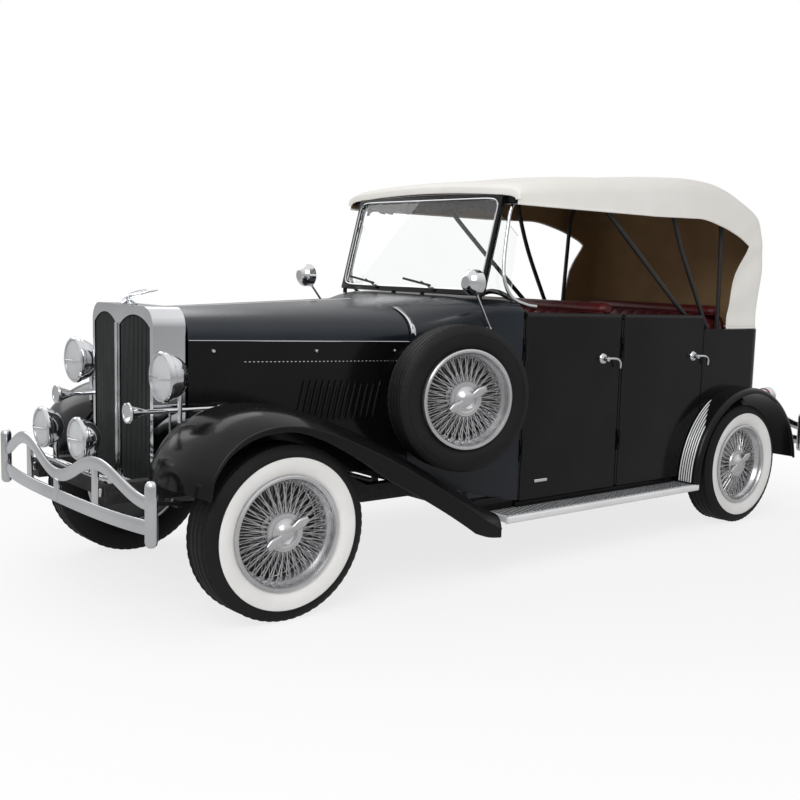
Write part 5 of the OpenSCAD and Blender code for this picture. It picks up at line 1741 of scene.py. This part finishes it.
@dataclass
class Stage:
    """Floor, light and camera; the camera's numbers come from matching the photograph's view."""

    # Left of the middle, station and height
    eye: tuple = (4.3945, -2.2293, 1.391)
    yaw: float = 0.7882
    pitch: float = 0.1235
    roll: float = -0.0425
    focal_px: float = 1054.64
    centre_px: tuple = (540.73, 415.77)
    image_px: float = 800.0

    def camera(self) -> None:
        """Sets the camera by its angles, its focal length in pixels and its optical middle."""
        cp = math.cos(self.pitch)
        ahead = np.array([-math.cos(self.yaw) * cp, math.sin(self.yaw) * cp, -math.sin(self.pitch)])
        right = unit(np.cross(ahead, np.array(UP)))
        down = np.cross(ahead, right)
        c, s = math.cos(self.roll), math.sin(self.roll)
        right, down = c * right + s * down, -s * right + c * down
        data = bpy.data.cameras.new("camera")
        data.sensor_width = 36.0
        data.lens = self.focal_px * data.sensor_width / self.image_px
        data.shift_x = (self.image_px / 2 - self.centre_px[0]) / self.image_px
        data.shift_y = (self.centre_px[1] - self.image_px / 2) / self.image_px
        camera = bpy.data.objects.new("camera", data)
        axes = np.stack([right, -down, -ahead], axis=1)
        camera.matrix_world = Matrix.Translation(at(*self.eye)) @ Matrix(axes.tolist()).to_4x4()
        bpy.context.scene.collection.objects.link(camera)
        bpy.context.scene.camera = camera

    def floor(self) -> None:
        """A wide pale floor that keeps a soft shadow."""
        size = 30.0
        t = np.linspace(-size, size, 9)
        x, y = np.meshgrid(t, t, indexing="ij")
        patch = grid(np.stack([x, y, np.full(x.shape, -0.0005)], axis=-1))
        mesh = bpy.data.meshes.new("floor")
        mesh.from_pydata(patch.points.tolist(), [], patch.quads.tolist())
        floor = bpy.data.objects.new("floor", mesh)
        bpy.context.scene.collection.objects.link(floor)
        made = bpy.data.materials.new("pale_floor")
        made.use_nodes = True
        nodes = Nodes(made.node_tree)
        matt = nodes.add("ShaderNodeBsdfDiffuse", None, Color=(0.86, 0.86, 0.86, 1.0))
        seen = nodes.add("ShaderNodeLightPath")
        far = nodes.add("ShaderNodeVectorMath", {"operation": "LENGTH"},
                        i0=object_point(nodes)).outputs["Value"]
        clear = nodes.math("MAXIMUM", seen.outputs["Is Camera Ray"], seen.outputs["Is Transmission Ray"])
        glow = nodes.span(seen.outputs["Is Glossy Ray"], 0.0, 1.0, 1.0, 0.45)
        white = nodes.add("ShaderNodeEmission", None, Color=(1.0, 1.0, 1.0, 1.0), Strength=glow)
        share = nodes.math("MULTIPLY", clear, nodes.span(far, 2.2, 4.2, 0.78, 1.0))
        share = nodes.math("MAXIMUM", share, nodes.math("MULTIPLY", seen.outputs["Is Glossy Ray"], 0.8))
        blend = nodes.add("ShaderNodeMixShader", None, i0=share, i1=matt.outputs[0], i2=white.outputs[0])
        nodes.add("ShaderNodeOutputMaterial", None, Surface=blend.outputs[0])
        mesh.materials.append(made)

    def light(self) -> None:
        """White surroundings that are dimmer for lighting than for looking at, and two broad soft lamps."""
        world = bpy.data.worlds.new("studio")
        bpy.context.scene.world = world
        world.use_nodes = True
        nodes = Nodes(world.node_tree)
        seen = nodes.add("ShaderNodeLightPath")
        look = nodes.add("ShaderNodeTexCoord").outputs["Generated"]
        height = nodes.add("ShaderNodeSeparateXYZ", None, Vector=look).outputs["Z"]
        sheen = nodes.span(height, 0.0, 0.75, 0.42, 1.0)
        lit = nodes.span(seen.outputs["Is Glossy Ray"], 0.0, 1.0, 0.62, sheen)
        clear = nodes.math("MAXIMUM", seen.outputs["Is Camera Ray"], seen.outputs["Is Transmission Ray"])
        strength = nodes.span(clear, 0.0, 1.0, lit, 1.0)
        sky = nodes.add("ShaderNodeBackground", None, Color=(1.0, 1.0, 1.0, 1.0), Strength=strength)
        nodes.add("ShaderNodeOutputWorld", None, Surface=sky.outputs[0])
        lamps = (("key", (3.5, -4.5, 5.0), 4.0, 170.0), ("fill", (-5.0, -1.0, 4.5), 5.0, 90.0))
        for name, place, size, power in lamps:
            data = bpy.data.lights.new(name, "AREA")
            data.energy, data.size = power, size
            lamp = bpy.data.objects.new(name, data)
            aim = unit(np.array([0.0, 0.0, 0.8]) - np.array(place))
            lamp.matrix_world = Matrix.Translation(place) @ Matrix(basis(-aim).tolist()).to_4x4()
            bpy.context.scene.collection.objects.link(lamp)

    def build(self) -> None:
        """Makes the stage."""
        self.camera()
        self.floor()
        self.light()
        bpy.context.scene.view_settings.view_transform = "Standard"


def dress_nodes() -> None:
    """Gives each CAD node that stays in view its finish."""
    for node, finish in NODE_FINISH.items():
        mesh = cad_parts[node].data
        mesh.materials.clear()
        mesh.materials.append(finish.material())
        LOG.info("%s finished as %s", node, finish.name)


def build_wheels() -> None:
    """Makes the four road wheels and the spares."""
    for side, word in SIDES:
        for end in ("front", "rear"):
            low, high = node_box(f"tyre_{end}_{word}")
            wheel = Wheel(f"{end}_{word}", (low + high) / 2, (float(side), 0.0, 0.0), f"{end}_{word}_wheel",
                          f"tyre_{end}_{word}", f"wheel_{end}_{word}")
            wheel.build(white=True)
    Spares().build()


def main() -> None:
    """Builds the car in order."""
    logging.basicConfig(level=logging.INFO, format="%(name)s %(message)s")
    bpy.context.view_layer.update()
    Stage().build()
    dress_nodes()
    hood = Hood()
    hood.build()
    Fenders().build(hood)
    Bumpers().build()
    Front().build()
    Doors().build()
    for node in ("rear_body", "tail_apron"):
        rounded_node(node, PAINT, 0.006)
    build_wheels()
    Screen().build()
    Canopy().build()
    Seats().build()
    Fittings().build()


if __name__ == "__main__":
    main()
